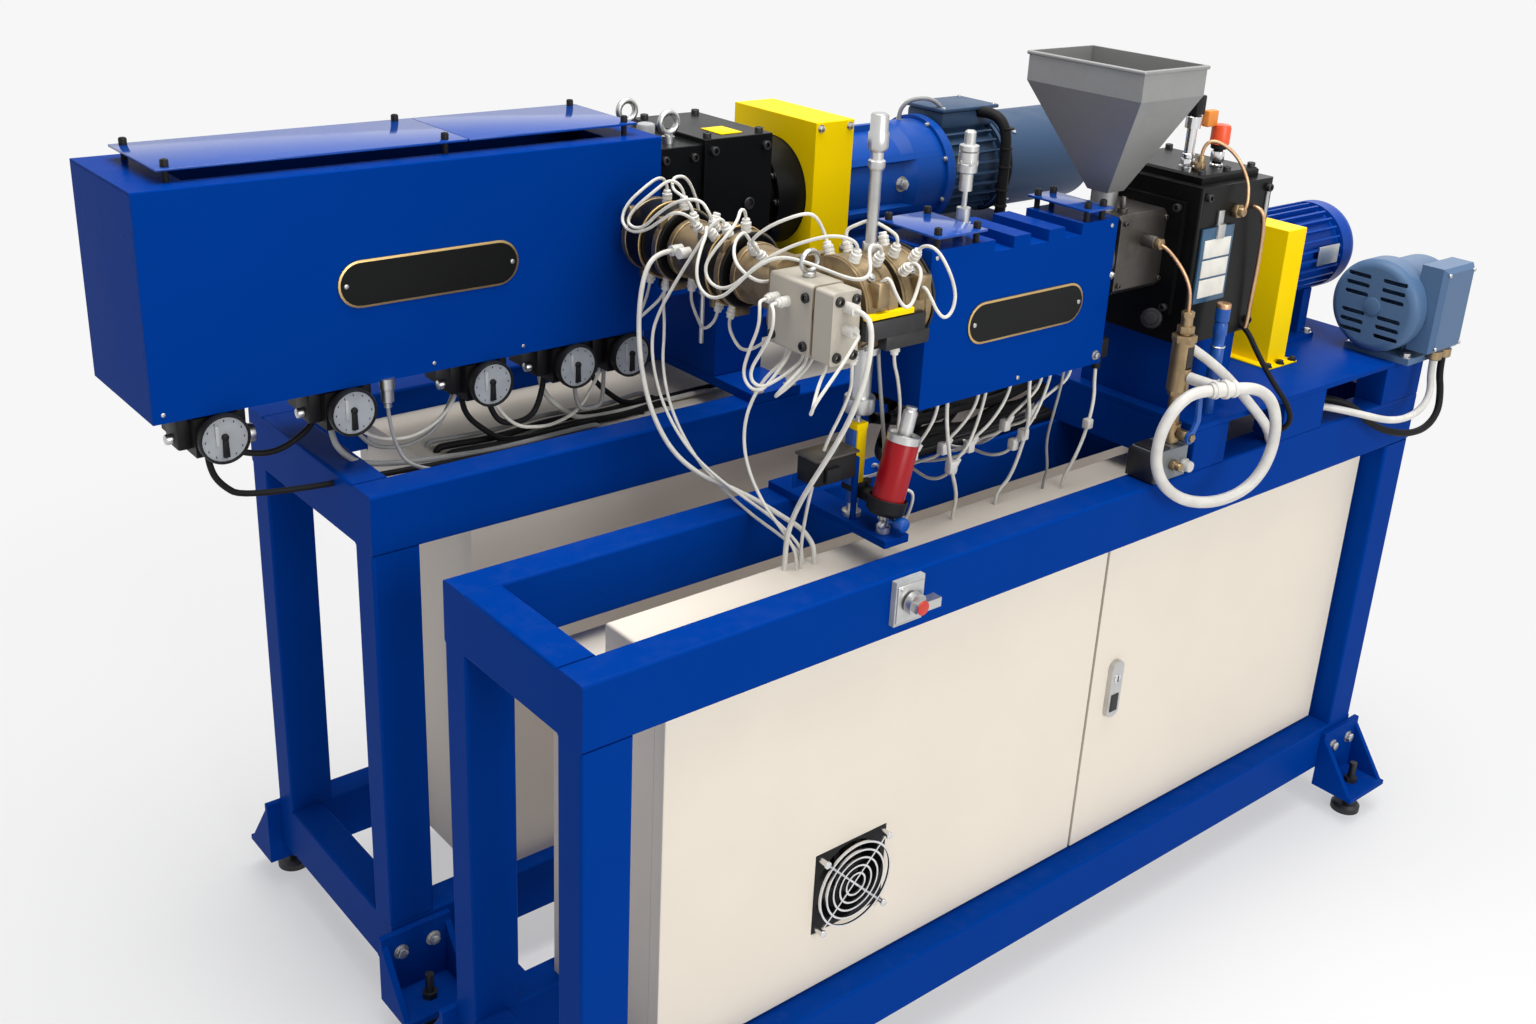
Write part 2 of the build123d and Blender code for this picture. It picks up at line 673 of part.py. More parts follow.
# Front deck on the rails
deck_x0 = X0 + DECK_X0
deck_under = DECK_TOP - DECK_PLATE_T
save("deck_plate", block(deck_x0, X0 + FRAME_LEN, Y0, FRONT_Y1, deck_under, DECK_TOP))
posts = [block(deck_x0, deck_x0 + DECK_BOLSTER, Y0, FRONT_Y1, FRONT_TOP, deck_under)]
for px0, px1 in (DECK_MIDDLE_POST, (FRAME_LEN - DECK_END_POST, FRAME_LEN)):
    for py0 in (Y0, FRONT_Y1 - RAIL_W):
        posts.append(block(X0 + px0, X0 + px1, py0, py0 + RAIL_W, FRONT_TOP, deck_under))
save("deck_posts", *posts)

# Front gearbox on its plinth
gear_x0 = X0 + GEARBOX_X0
gear_x1 = gear_x0 + GEARBOX_LEN
plinth = block(
    gear_x0 + PLINTH_INSET, gear_x1 - PLINTH_INSET,
    FRONT_AXIS - GEARBOX_HALF + PLINTH_INSET, FRONT_AXIS + GEARBOX_HALF - PLINTH_INSET,
    DECK_TOP, GEARBOX_BOTTOM,
)
gear_y0 = FRONT_AXIS - GEARBOX_HALF
gear_y1 = FRONT_AXIS + GEARBOX_HALF
case = block(gear_x0, gear_x1, gear_y0, gear_y1, GEARBOX_BOTTOM, GEARBOX_TOP)
case = fillet(case.edges().filter_by(Axis.Z), TUBE_ROUND)
case += block(
    gear_x0 - GEARBOX_FACE_T, gear_x0, gear_y0 + GEARBOX_FACE_EDGE, gear_y1 - GEARBOX_FACE_EDGE,
    GEARBOX_BOTTOM + GEARBOX_FACE_RISE, GEARBOX_TOP - GEARBOX_FACE_EDGE,
)
case += rod_x(gear_x1, X0 + COUPLING_X0, Y0 + MOTOR_Y, MOTOR_Z, OUTPUT_SHAFT_R)
save("front_gearbox", case)
lid_top = GEARBOX_TOP + LID_T
lid = block(
    gear_x0 + LID_EDGE, gear_x1 - LID_EDGE, gear_y0 + LID_EDGE, gear_y1 - LID_EDGE, GEARBOX_TOP, lid_top
)
lid = chamfer(lid.edges().group_by(Axis.Z)[-1], LID_T / 4)
for fit_x, fit_y, neck_r, neck_h, head_r, head_h in LID_FITTINGS:
    neck_z = lid_top + neck_h
    lid += rod_z(gear_x0 + fit_x, gear_y0 + fit_y, lid_top, neck_z, neck_r)
    lid += rod_z(gear_x0 + fit_x, gear_y0 + fit_y, neck_z, neck_z + head_h, head_r)
save("gearbox_lid", lid)

# Feed block, hopper and barrel
feed_x0 = X0 + FEED_X0
feed = block(
    feed_x0, gear_x0 - GEARBOX_FACE_T, FRONT_AXIS - FEED_HALF, FRONT_AXIS + FEED_HALF, FEED_BOTTOM, FEED_TOP
)
feed = chamfer(feed.edges().filter_by(Axis.X), 6.0)
save("feed_block", feed)
front_barrel = rod_x(X0 + ADAPTER_X1, feed_x0, FRONT_AXIS, AXIS_Z, BARREL_R)


def hopper():
    """Sheet hopper: round neck, four sloping sides, straight band and a turned-out rim, all open."""
    lean = -HOPPER_LEAN

    def funnel(grow, extra):
        side = 2 * (HOPPER_NECK_R + grow)
        half_x = HOPPER_LX / 2 + grow
        half_y = HOPPER_LY / 2 + grow
        band_z = HOPPER_TOP - HOPPER_BAND
        low = Pos(0, 0, NECK_TOP) * Rectangle(side, side)
        high = Pos(lean, 0, band_z) * Rectangle(2 * half_x, 2 * half_y)
        body = loft([low, high])
        body += block(lean - half_x, lean + half_x, -half_y, half_y, band_z, HOPPER_TOP + extra)
        return body + rod_z(0, 0, FEED_TOP - extra, NECK_TOP, HOPPER_NECK_R + grow)
    half_x = HOPPER_LX / 2 + HOPPER_RIM
    half_y = HOPPER_LY / 2 + HOPPER_RIM
    rim = block(lean - half_x, lean + half_x, -half_y, half_y, HOPPER_TOP - HOPPER_RIM, HOPPER_TOP)
    rim = fillet(rim.edges(), HOPPER_RIM * 0.4)
    shell = funnel(HOPPER_WALL, 0) + rim - funnel(0, HOPPER_RIM)
    return Pos(X0 + HOPPER_X, FRONT_AXIS, 0) * shell


save("hopper", hopper())


def front_barrel_guard():
    """Sheet cover over the barrel, open below, its top folded down into three cross notches."""
    x0 = X0 + GUARD_X0
    x1 = X0 + GUARD_X1
    y0 = FRONT_AXIS - GUARD_HALF
    y1 = FRONT_AXIS + GUARD_HALF
    w = GUARD_WALL
    cover = block(x0, x1, y0, y1, GUARD_BOTTOM, GUARD_TOP)
    inside = block(x0 + w, x1 - w, y0 + w, y1 - w, GUARD_BOTTOM - 1, GUARD_TOP - w)
    notch_z = GUARD_TOP - GUARD_SLOT_DEPTH
    for slot_x in GUARD_SLOTS:
        sx = X0 + slot_x
        cover -= block(sx, sx + GUARD_SLOT_W, y0 - 1, y1 + 1, notch_z, GUARD_TOP + 1)
        inside -= block(sx - w, sx + GUARD_SLOT_W + w, y0, y1, notch_z - w, GUARD_TOP + 1)
    cover -= inside
    cover -= rod_z(X0 + SENSORS_X[1], FRONT_AXIS, AXIS_Z, GUARD_TOP + 1, SENSOR_R + BARREL_PLAY)
    return cover - rod_x(x0 - 1, x1 + 1, FRONT_AXIS, AXIS_Z, BARREL_R + BARREL_PLAY)


save("front_barrel_guard", front_barrel_guard())


def raised_plates(spans, y0, y1, top, posts_y):
    """Flat vent plates that stand over a guard on short posts with round caps."""
    pieces = []
    plate_z = top + STANDOFF_H
    cap_z = plate_z + PLATE_T + SEAM
    for x0, x1 in spans:
        pieces.append(block(X0 + x0, X0 + x1, y0, y1, plate_z, plate_z + PLATE_T))
        for px in (X0 + x0 + STANDOFF_INSET, X0 + x1 - STANDOFF_INSET):
            for py in posts_y:
                pieces.append(rod_z(px, py, top, plate_z - SEAM, STANDOFF_R))
                cap = rod_z(px, py, cap_z, cap_z + STANDOFF_CAP_H, STANDOFF_R)
                pieces.append(fillet(cap.edges().group_by(Axis.Z)[-1], STANDOFF_R / 2))
    return pieces


front_posts = (FRONT_AXIS - GUARD_HALF + STANDOFF_INSET, FRONT_AXIS + GUARD_HALF - STANDOFF_INSET)
front_half = GUARD_HALF + FRONT_PLATE_OVERHANG
front_plates = raised_plates(
    FRONT_PLATES, FRONT_AXIS - front_half, FRONT_AXIS + front_half, GUARD_TOP, front_posts
)


def coupling_guard(x0, x1, y0, y1, z0, z1, bores):
    """Folded yellow guard, open below, bored for what runs through it."""
    w = COUPLING_WALL
    guard = block(x0, x1, y0, y1, z0, z1)
    guard -= block(x0 + w, x1 - w, y0 + w, y1 - w, z0 - 1, z1 - w)
    for bore in bores:
        guard -= bore
    return guard


c_x0 = X0 + COUPLING_X0
c_x1 = c_x0 + COUPLING_LEN
c_y0 = Y0 + COUPLING_Y0
c_y1 = Y0 + COUPLING_Y1
drive_bore = rod_x(c_x0 - 1, c_x1 + 1, Y0 + MOTOR_Y, MOTOR_Z, OUTPUT_SHAFT_R + BARREL_PLAY)
front_guard = coupling_guard(c_x0, c_x1, c_y0, c_y1, DECK_TOP, COUPLING_TOP, [drive_bore])
flange = block(
    c_x0 - COUPLING_FLANGE, c_x1 + COUPLING_FLANGE, c_y0 - COUPLING_FLANGE, c_y1,
    DECK_TOP, DECK_TOP + COUPLING_WALL,
)
flange -= block(
    c_x0 + COUPLING_WALL, c_x1 - COUPLING_WALL, c_y0 + COUPLING_WALL, c_y1 - COUPLING_WALL,
    DECK_TOP - 1, DECK_TOP + COUPLING_WALL + 1,
)
front_guard += flange


def finned_motor(x0, x1, y, z, r, fin_h, cap):
    """Totally enclosed motor: ribbed body, end shield and rounded fan cowl."""
    body = rod_x(x0, x1 - cap, y, z, r - fin_h)
    length = x1 - cap - x0
    for i in range(MOTOR_FINS):
        fin = Pos(x0 + length / 2, 0, r - fin_h) * Box(length - 2 * FIN_SETBACK, FIN_T, 2 * fin_h)
        body += Pos(0, y, z) * Rot(360 * i / MOTOR_FINS, 0, 0) * fin
    cowl = rod_x(x1 - cap, x1, y, z, r)
    cowl = fillet(cowl.edges().group_by(Axis.X)[-1], cap / 2)
    return body + cowl + rod_x(x0, x0 + SHIELD_T, y, z, r)


stand_y = Y0 + MOTOR_Y
front_motor = finned_motor(
    X0 + MOTOR_X0, X0 + MOTOR_X1, stand_y, MOTOR_Z, MOTOR_R, MOTOR_FIN, MOTOR_COWL
)
front_motor += rod_x(c_x1 - SHAFT_ENTRY, X0 + MOTOR_X0, stand_y, MOTOR_Z, MOTOR_SHAFT_R)
save("front_motor", front_motor)
stand_x0, stand_x1 = X0 + STAND_X[0], X0 + STAND_X[1]
stand = block(
    stand_x0, stand_x1, stand_y - STAND_HALF, stand_y + STAND_HALF, DECK_TOP, DECK_TOP + STAND_BASE_T
)
for sx in STAND_FEET:
    stand += block(
        X0 + sx, X0 + sx + STAND_FOOT_L, stand_y - STAND_FOOT_HALF, stand_y + STAND_FOOT_HALF,
        DECK_TOP, MOTOR_Z - MOTOR_R + STAND_GRIP,
    )
stand -= rod_x(stand_x0 - 1, stand_x1 + 1, stand_y, MOTOR_Z, MOTOR_R + BARREL_PLAY)
save("drive_stands", plinth, stand)

aux_x0 = X0 + AUX_X0
aux_x1 = aux_x0 + AUX_LEN
aux_y = Y0 + AUX_Y


def auxiliary_motor():
    """Foot-mounted motor; its fan cover is a drawn cup with two columns of rounded slots."""
    cover_x1 = aux_x0 + AUX_COVER_LEN
    w = AUX_COVER_WALL
    cover = rod_x(aux_x0, cover_x1, aux_y, AUX_Z, AUX_R)
    cover = fillet(cover.edges().group_by(Axis.X)[0], AUX_COVER_ROUND)
    hollow = rod_x(aux_x0 + w, cover_x1 + 1, aux_y, AUX_Z, AUX_R - w)
    cover -= fillet(hollow.edges().group_by(Axis.X)[0], AUX_COVER_ROUND - w)
    for side in (-1, 1):
        for rise in AUX_SLOT_ROWS:
            slot = extrude(Plane.YZ * SlotOverall(AUX_SLOT_L, AUX_SLOT_W), 4 * w, both=True)
            cover -= Pos(aux_x0, aux_y + side * AUX_SLOT_Y, AUX_Z + rise) * slot
    motor = cover + rod_x(cover_x1 - SHIELD_T, aux_x1, aux_y, AUX_Z, AUX_BODY_R)
    motor += rod_x(cover_x1 - SHIELD_T, cover_x1, aux_y, AUX_Z, AUX_R)
    foot_top = DECK_TOP + AUX_FOOT_T
    motor += block(
        aux_x0 + AUX_FOOT_X[0], aux_x0 + AUX_FOOT_X[1], aux_y + AUX_FOOT_Y[0], aux_y + AUX_FOOT_Y[1],
        DECK_TOP, foot_top,
    )
    return motor + block(
        aux_x0 + AUX_NECK_X[0], aux_x0 + AUX_NECK_X[1], aux_y - AUX_NECK_HALF, aux_y + AUX_NECK_HALF,
        foot_top, AUX_Z,
    )


save("auxiliary_motor", auxiliary_motor())
box_y1 = aux_y - AUX_BODY_R + BOX_SINK
terminal = block(
    aux_x0 + BOX_X[0], aux_x0 + BOX_X[1], box_y1 - BOX_SINK - BOX_T, box_y1,
    AUX_Z + BOX_Z[0], AUX_Z + BOX_Z[1],
)
terminal = chamfer(terminal.edges().group_by(Axis.Y)[0], BOX_SLANT / 2)
terminal -= rod_x(aux_x0, aux_x0 + AUX_COVER_LEN + SEAM, aux_y, AUX_Z, AUX_R + BARREL_PLAY)
terminal -= rod_x(aux_x0, aux_x1 + 1, aux_y, AUX_Z, AUX_BODY_R + BARREL_PLAY)
for lead in (WHITE_LEAD, BLACK_LEAD):
    gland = place(lead[0])
    terminal += rod_z(gland.X, gland.Y, gland.Z, AUX_Z + BOX_Z[0] + 1, GLAND_R)
save("auxiliary_terminal_box", terminal)

# Rear unit
rear_barrel = rod_x(X0 + REAR_BARREL_X0, X0 + REAR_GEARBOX_X0, REAR_AXIS, AXIS_Z, REAR_BARREL_R)
save("barrels", front_barrel, rear_barrel)


def rear_barrel_guard():
    """Long cover: one sheet folded over the barrel, open below and vented on top, and two end plates."""
    x0 = X0 + REAR_GUARD_X0
    x1 = X0 + REAR_GUARD_X1
    y0 = REAR_AXIS - REAR_GUARD_HALF
    y1 = REAR_AXIS + REAR_GUARD_HALF
    w = GUARD_WALL
    m = VENT_MARGIN
    top = REAR_GUARD_TOP
    sheet = block(x0, x1, y0, y1, REAR_GUARD_BOTTOM, top)
    sheet = fillet(sheet.edges().filter_by(Axis.X).group_by(Axis.Z)[-1], GUARD_BEND)
    hollow = block(x0 - 1, x1 + 1, y0 + w, y1 - w, REAR_GUARD_BOTTOM - 1, top - w)
    sheet -= hollow
    sheet -= block(x0 + 2 * m, x1 - 2 * m, y0 + m, y1 - m, top - w - 1, top + 1)
    sheet -= rod_y(X0 + PIPE_X, y0 - 1, y0 + w + 1, AXIS_Z, PIPE_R + BARREL_PLAY)
    in_y0, in_y1, in_z1 = y0 + w + SEAM, y1 - w - SEAM, top - w - SEAM
    left_end = block(x0, x0 + w, in_y0, in_y1, REAR_GUARD_BOTTOM, in_z1)
    right_end = block(x1 - w, x1, in_y0, in_y1, REAR_GUARD_BOTTOM, in_z1)
    right_end -= rod_x(x1 - w - 1, x1 + 1, REAR_AXIS, AXIS_Z, REAR_BARREL_R + BARREL_PLAY)
    return sheet, left_end, right_end


save("rear_barrel_guard", *rear_barrel_guard())
rear_posts = (
    REAR_AXIS - REAR_GUARD_HALF + REAR_POST_INSET, REAR_AXIS + REAR_GUARD_HALF - REAR_POST_INSET
)
rear_plates = raised_plates(
    REAR_PLATES, REAR_AXIS - REAR_PLATE_HALF, REAR_AXIS + REAR_PLATE_HALF, REAR_GUARD_TOP, rear_posts
)
save("guard_vent_plates", *front_plates, *rear_plates)


def actuator(x):
    """Valve drive under the barrel: black housing with a round dial in front, and a stem to the barrel."""
    dial_y = Y0 + DIAL_Y
    unit = rod_y(x, dial_y, dial_y + DIAL_T, ACTUATOR_Z, DIAL_R)
    top = ACTUATOR_Z + ACTUATOR_HALF_H
    unit += block(
        x + ACTUATOR_W[0], x + ACTUATOR_W[1], dial_y + DIAL_T - 1, REAR_AXIS + ACTUATOR_REAR,
        ACTUATOR_Z - ACTUATOR_HALF_H, top,
    )
    return unit, rod_z(x, REAR_AXIS, top + CORE_PLAY, AXIS_Z - REAR_BARREL_R - CORE_PLAY, STEM_R)


save("cooling_actuators", *[piece for ax in ACTUATOR_X for piece in actuator(X0 + ax)])

rg_y0 = REAR_AXIS - REAR_GEARBOX_HALF
rg_y1 = REAR_AXIS + REAR_GEARBOX_HALF
rg_x0 = X0 + REAR_GEARBOX_X0
rg_mid = X0 + REAR_GEARBOX_SPLIT
rg_x1 = X0 + REAR_GEARBOX_X1
step = REAR_GEARBOX_STEP
low_top = REAR_GEARBOX_TOP - step
rear_case = block(rg_x0, rg_mid, rg_y0 + step, rg_y1 - step, REAR_GEARBOX_BOTTOM, low_top)
rear_case += block(rg_mid, rg_x1, rg_y0, rg_y1, REAR_GEARBOX_BOTTOM, REAR_GEARBOX_TOP)
save("rear_gearbox", rear_case)


def lifting_eye(x, y, z):
    """Eye bolt: collar, shank and upright ring."""
    shank_z = z + EYE_COLLAR_R
    ring_z = shank_z + EYE_RING_R + EYE_WIRE_R
    eye = rod_z(x, y, z, shank_z, EYE_COLLAR_R)
    eye += rod_z(x, y, shank_z, ring_z - EYE_RING_R, EYE_WIRE_R)
    return eye + Pos(x, y, ring_z) * Rot(90, 0, 0) * Torus(EYE_RING_R, EYE_WIRE_R)


save(
    "lifting_eyes",
    lifting_eye(rg_mid - EYE_BACK, rg_y0 + EYE_INSET, low_top),
    lifting_eye(rg_mid - EYE_BACK, rg_y1 - EYE_INSET, low_top),
)
rc_x0 = X0 + REAR_COUPLING_X0
rc_x1 = rc_x0 + REAR_COUPLING_LEN
bell_x1 = rc_x0 + COUPLING_WALL + DOOR_GAP
bell = rod_x(rg_x1, bell_x1 + REAR_COUPLING_LEN / 2, REAR_AXIS, AXIS_Z, BELL_NECK_R)
bell += rod_x(rg_x1 + BELL_SET, bell_x1, REAR_AXIS, AXIS_Z, BELL_R)
save("coupling_bell", bell)
bell_bore = rod_x(rc_x0 - 1, bell_x1, REAR_AXIS, AXIS_Z, BELL_R + BARREL_PLAY)
nose_x0 = rc_x1 - SHAFT_ENTRY
reducer_bore = rod_x(nose_x0, rc_x1 + 1, REAR_AXIS, AXIS_Z, REDUCER_NOSE_R + BARREL_PLAY)
rear_guard = coupling_guard(
    rc_x0, rc_x1, REAR_AXIS - REAR_COUPLING_HALF, REAR_AXIS + REAR_COUPLING_HALF,
    REAR_GEARBOX_BOTTOM, REAR_COUPLING_TOP, [bell_bore, reducer_bore],
)
save("coupling_guards", front_guard, rear_guard)


def reducer():
    """Cast helical reducer: one turned casting with ribs, on a webbed foot."""
    x1 = X0 + REDUCER_X1
    waist_x = rc_x1 + SHAFT_ENTRY
    belly_x = waist_x + (x1 - waist_x) * 0.55
    flange_x = x1 - REDUCER_FLANGE_T
    outline = (
        (nose_x0, 0), (nose_x0, REDUCER_NOSE_R), (rc_x1 + 4, REDUCER_NOSE_R), (waist_x, REDUCER_WAIST_R),
        (belly_x, REDUCER_WAIST_R), (belly_x + SHAFT_ENTRY, REDUCER_BELLY_R), (flange_x, REDUCER_BELLY_R),
        (flange_x, REDUCER_R), (x1, REDUCER_R), (x1, 0),
    )
    spots = [(x, r + AXIS_Z) for x, r in outline]
    profile = make_face(Plane.XZ.offset(-REAR_AXIS) * Polyline(*spots, close=True))
    body = revolve(profile, Axis((0, REAR_AXIS, AXIS_Z), (1, 0, 0)))
    rib_l = flange_x - waist_x
    rib_h = REDUCER_BELLY_R - REDUCER_WAIST_R + 4
    for turn in REDUCER_RIBS:
        rib = Pos(waist_x + rib_l / 2, 0, REDUCER_BELLY_R - rib_h / 2) * Box(rib_l, REDUCER_RIB_T, rib_h)
        body += Pos(0, REAR_AXIS, AXIS_Z) * Rot(turn - 90, 0, 0) * rib
    foot_z = REAR_GEARBOX_BOTTOM
    half = REDUCER_FOOT_HALF
    web = REDUCER_WEB_HALF
    body += block(
        waist_x + SHAFT_ENTRY, x1 - 3 * SHAFT_ENTRY, REAR_AXIS - half, REAR_AXIS + half,
        foot_z, foot_z + REDUCER_FOOT_T,
    )
    return body + block(
        waist_x + 2 * SHAFT_ENTRY, x1 - 4 * SHAFT_ENTRY, REAR_AXIS - web, REAR_AXIS + web, foot_z, AXIS_Z
    )


save("rear_reducer", reducer())
rear_motor = finned_motor(
    X0 + REDUCER_X1, X0 + REAR_MOTOR_X1, REAR_AXIS, AXIS_Z, REAR_MOTOR_R, REAR_MOTOR_FIN, SHIELD_T
)
save("rear_motor", rear_motor)
cowl = rod_x(X0 + REAR_MOTOR_X1, X0 + COWL_X1, REAR_AXIS, AXIS_Z, COWL_R)
cowl = fillet(cowl.edges().group_by(Axis.X)[-1], COWL_ROUND)
save("rear_motor_cowl", cowl)

plate_bottom = REAR_GEARBOX_BOTTOM - PEDESTAL_T
save("rear_pedestal_plate", block(rg_x0, X0 + PEDESTAL_X1, rg_y0, rg_y1, plate_bottom, REAR_GEARBOX_BOTTOM))
ped_posts = []
foot_top = REAR_TOP + PEDESTAL_FOOT_T
for px in PEDESTAL_POSTS:
    p0, p1 = X0 + px, X0 + px + PEDESTAL_POST_L
    ped_posts.append(block(p0, p1, rg_y0, rg_y1, foot_top + SEAM, plate_bottom))
    ped_posts.append(block(p0, p1, REAR_Y0, REAR_Y1, REAR_TOP, foot_top))
save("rear_pedestal_posts", *ped_posts)

# Melt line: front barrel head, split adapter, heated pipe to the rear barrel
pipe_x = X0 + PIPE_X
clamp_y1 = Y0 + CLAMP_REAR_Y[1]
pipe_y0 = clamp_y1 + FLANGE_T
pipe_end = REAR_AXIS - REAR_BARREL_R - CORE_PLAY
pipe = rod_y(pipe_x, pipe_y0, pipe_end, AXIS_Z, PIPE_R)
for d_y0, d_y1 in DRUMS_Y:
    drum = rod_y(pipe_x, Y0 + d_y0, Y0 + d_y1, AXIS_Z, DRUM_R)
    pipe += fillet(drum.edges(), DRUM_ROUND)
    ring_y = Y0 + (d_y0 + d_y1 - DRUM_RING_T) / 2
    pipe += rod_y(pipe_x, ring_y, ring_y + DRUM_RING_T, AXIS_Z, DRUM_RING_R)
pipe += rod_y(pipe_x, Y0 + UNION_Y[0], Y0 + UNION_Y[1], AXIS_Z, UNION_R)
save("melt_pipe", pipe)
bands = []
for by0, by1 in BANDS_Y:
    band = rod_y(pipe_x, Y0 + by0, Y0 + by1, AXIS_Z, BAND_R)
    bands.append(band - rod_y(pipe_x, Y0 + by0 - 1, Y0 + by1 + 1, AXIS_Z, PIPE_R + CORE_PLAY))
ad_x0 = X0 + ADAPTER_X0
ad_x1 = X0 + ADAPTER_X1
core_x = (ad_x0 + X0 + CLAMP_FRONT_X1) / 2
front_y0 = Y0 + CLAMP_FRONT_Y[0]
core_y0 = front_y0 + CLAMP_ROUND
core = rod_y(core_x, core_y0, clamp_y1, AXIS_Z, CORE_R)
core += block(
    ad_x0 + SEAM_INSET, X0 + CLAMP_FRONT_X1 - SEAM_INSET, Y0 + CLAMP_FRONT_Y[1] + CORE_PLAY,
    Y0 + CLAMP_REAR_Y[0] - CORE_PLAY, CLAMP_BOTTOM + SEAM_INSET, CLAMP_TOP - SEAM_INSET,
)
end_plate = block(X0 + FLANGE_X[0], X0 + FLANGE_X[1], clamp_y1, pipe_y0, FLANGE_Z[0], FLANGE_Z[1])
core += fillet(end_plate.edges().filter_by(Axis.Y), FLANGE_ROUND)
save("adapter_block", core)


def clamp(x1, y0, y1):
    """One heated clamp round the adapter's core."""
    body = block(ad_x0, x1, y0, y1, CLAMP_BOTTOM, CLAMP_TOP)
    body = fillet(body.edges().filter_by(Axis.Y), CLAMP_ROUND)
    return body - rod_y(core_x, core_y0 - CORE_PLAY, y1 + 1, AXIS_Z, CORE_R + CORE_PLAY)


save(
    "adapter_heater_plates",
    clamp(X0 + CLAMP_FRONT_X1, front_y0, Y0 + CLAMP_FRONT_Y[1]),
    clamp(ad_x1, Y0 + CLAMP_REAR_Y[0], clamp_y1 - CORE_PLAY),
)
sensor_bore = rod_z(X0 + SENSORS_X[0], FRONT_AXIS, AXIS_Z, SENSOR_NECK, SENSOR_R + BARREL_PLAY)
for hx0, hx1 in ((ADAPTER_X1 + SEAM, HEAD_GAP[0]), (HEAD_GAP[1], GUARD_X0 - SEAM)):
    half = rod_x(X0 + hx0, X0 + hx1, FRONT_AXIS, AXIS_Z, HEAD_R)
    half -= rod_x(X0 + hx0 - 1, X0 + hx1 + 1, FRONT_AXIS, AXIS_Z, BARREL_R + CORE_PLAY)
    bands.append(half - sensor_bore)
save("heater_bands", *bands)


def sensor(x, top):
    """Melt pressure sensor: long stem from the barrel with a thicker head."""
    stem = rod_z(x, FRONT_AXIS, AXIS_Z + BARREL_R + CORE_PLAY, SENSOR_NECK, SENSOR_R)
    return stem + rod_z(x, FRONT_AXIS, SENSOR_NECK, top, SENSOR_HEAD_R)


save("pressure_sensors", *[sensor(X0 + x, top) for x, top in zip(SENSORS_X, SENSOR_TOPS)])

# Ceramic caps over the heater terminals, each seated on its heater
cap_x1 = pipe_x - BAND_R - CORE_PLAY
caps = []
for cap_y in CAP_SPOTS_Y:
    caps.append(rod_x(cap_x1 - CAP_LEN, cap_x1, Y0 + cap_y, AXIS_Z + CAP_RISE, CAP_R))
for rise in CLAMP_CAP_RISES:
    caps.append(rod_y(core_x, front_y0 - CAP_LEN, front_y0, AXIS_Z + rise, CAP_R))
save("terminal_caps", *caps)

# Water side at the front rail
col_x = X0 + STRAINER_X
col_y = Y0 + RAIL_W / 2
block_top = FRONT_TOP + MANIFOLD_H
save(
    "water_manifold",
    block(
        col_x - MANIFOLD_LEFT, deck_x0 - CAP_RISE, Y0 + MANIFOLD_INSET, Y0 + RAIL_W - MANIFOLD_INSET,
        FRONT_TOP, block_top,
    ),
)
body_z, neck_z, tip_z = (block_top + rise for rise in STRAINER_Z)
column = rod_z(col_x, col_y, block_top, body_z, STRAINER_PIPE_R)
column += rod_z(col_x, col_y, body_z, neck_z, STRAINER_R)
column -= block(
    col_x - WINDOW_W / 2, col_x + WINDOW_W / 2, col_y - STRAINER_R - 1, col_y - STRAINER_R + WINDOW_DEPTH,
    body_z + WINDOW_EDGE + MANIFOLD_H / 2, neck_z - WINDOW_EDGE,
)
column += rod_z(col_x, col_y, neck_z, tip_z, STRAINER_NECK_R)
valve_z = FRONT_TOP + VALVE_Z
column += rod_z(col_x, col_y, valve_z - VALVE_HALF_H, valve_z + VALVE_HALF_H, VALVE_R)
column += rod_y(col_x, Y0 + VALVE_STEM_END, col_y, valve_z, VALVE_STEM_R)
save("strainer_column", column)
lever_y0, lever_y1 = Y0 + LEVER_Y[0], Y0 + LEVER_Y[1]
lever = rod_y(col_x, lever_y0, lever_y1, valve_z, LEVER_HUB_R)
bends = [(col_x + x, valve_z + z) for x, z in LEVER_POINTS]
for (ax, az), (bx, bz) in zip(bends, bends[1:]):
    run = Vector(bx - ax, 0, bz - az)
    strip = Plane(Vector((ax + bx) / 2, lever_y0, (az + bz) / 2), x_dir=run, z_dir=(0, 1, 0))
    lever += extrude(strip * SlotCenterToCenter(run.length, LEVER_W), lever_y1 - lever_y0)
lever -= rod_y(col_x, lever_y0 - 1, lever_y1 + 1, valve_z, VALVE_STEM_R + HINGE_PLAY)
save("water_valve_lever", lever)
tee_z = FRONT_TOP + HOSE_POINTS[0][2]
tee = Wire(Polyline(place(HOSE_POINTS[-1]), place(HOSE_POINTS[0])))
tee_bar = sweep(Plane(tee @ 0, z_dir=tee % 0) * Circle(HOSE_D / 2 + 2), path=tee)
tee_at = tee @ 0.5
tee_bar += rod_y(tee_at.X, tee_at.Y, col_y - STRAINER_R - CORE_PLAY, tee_z, HOSE_D / 2)
save("hose_tee", tee_bar)

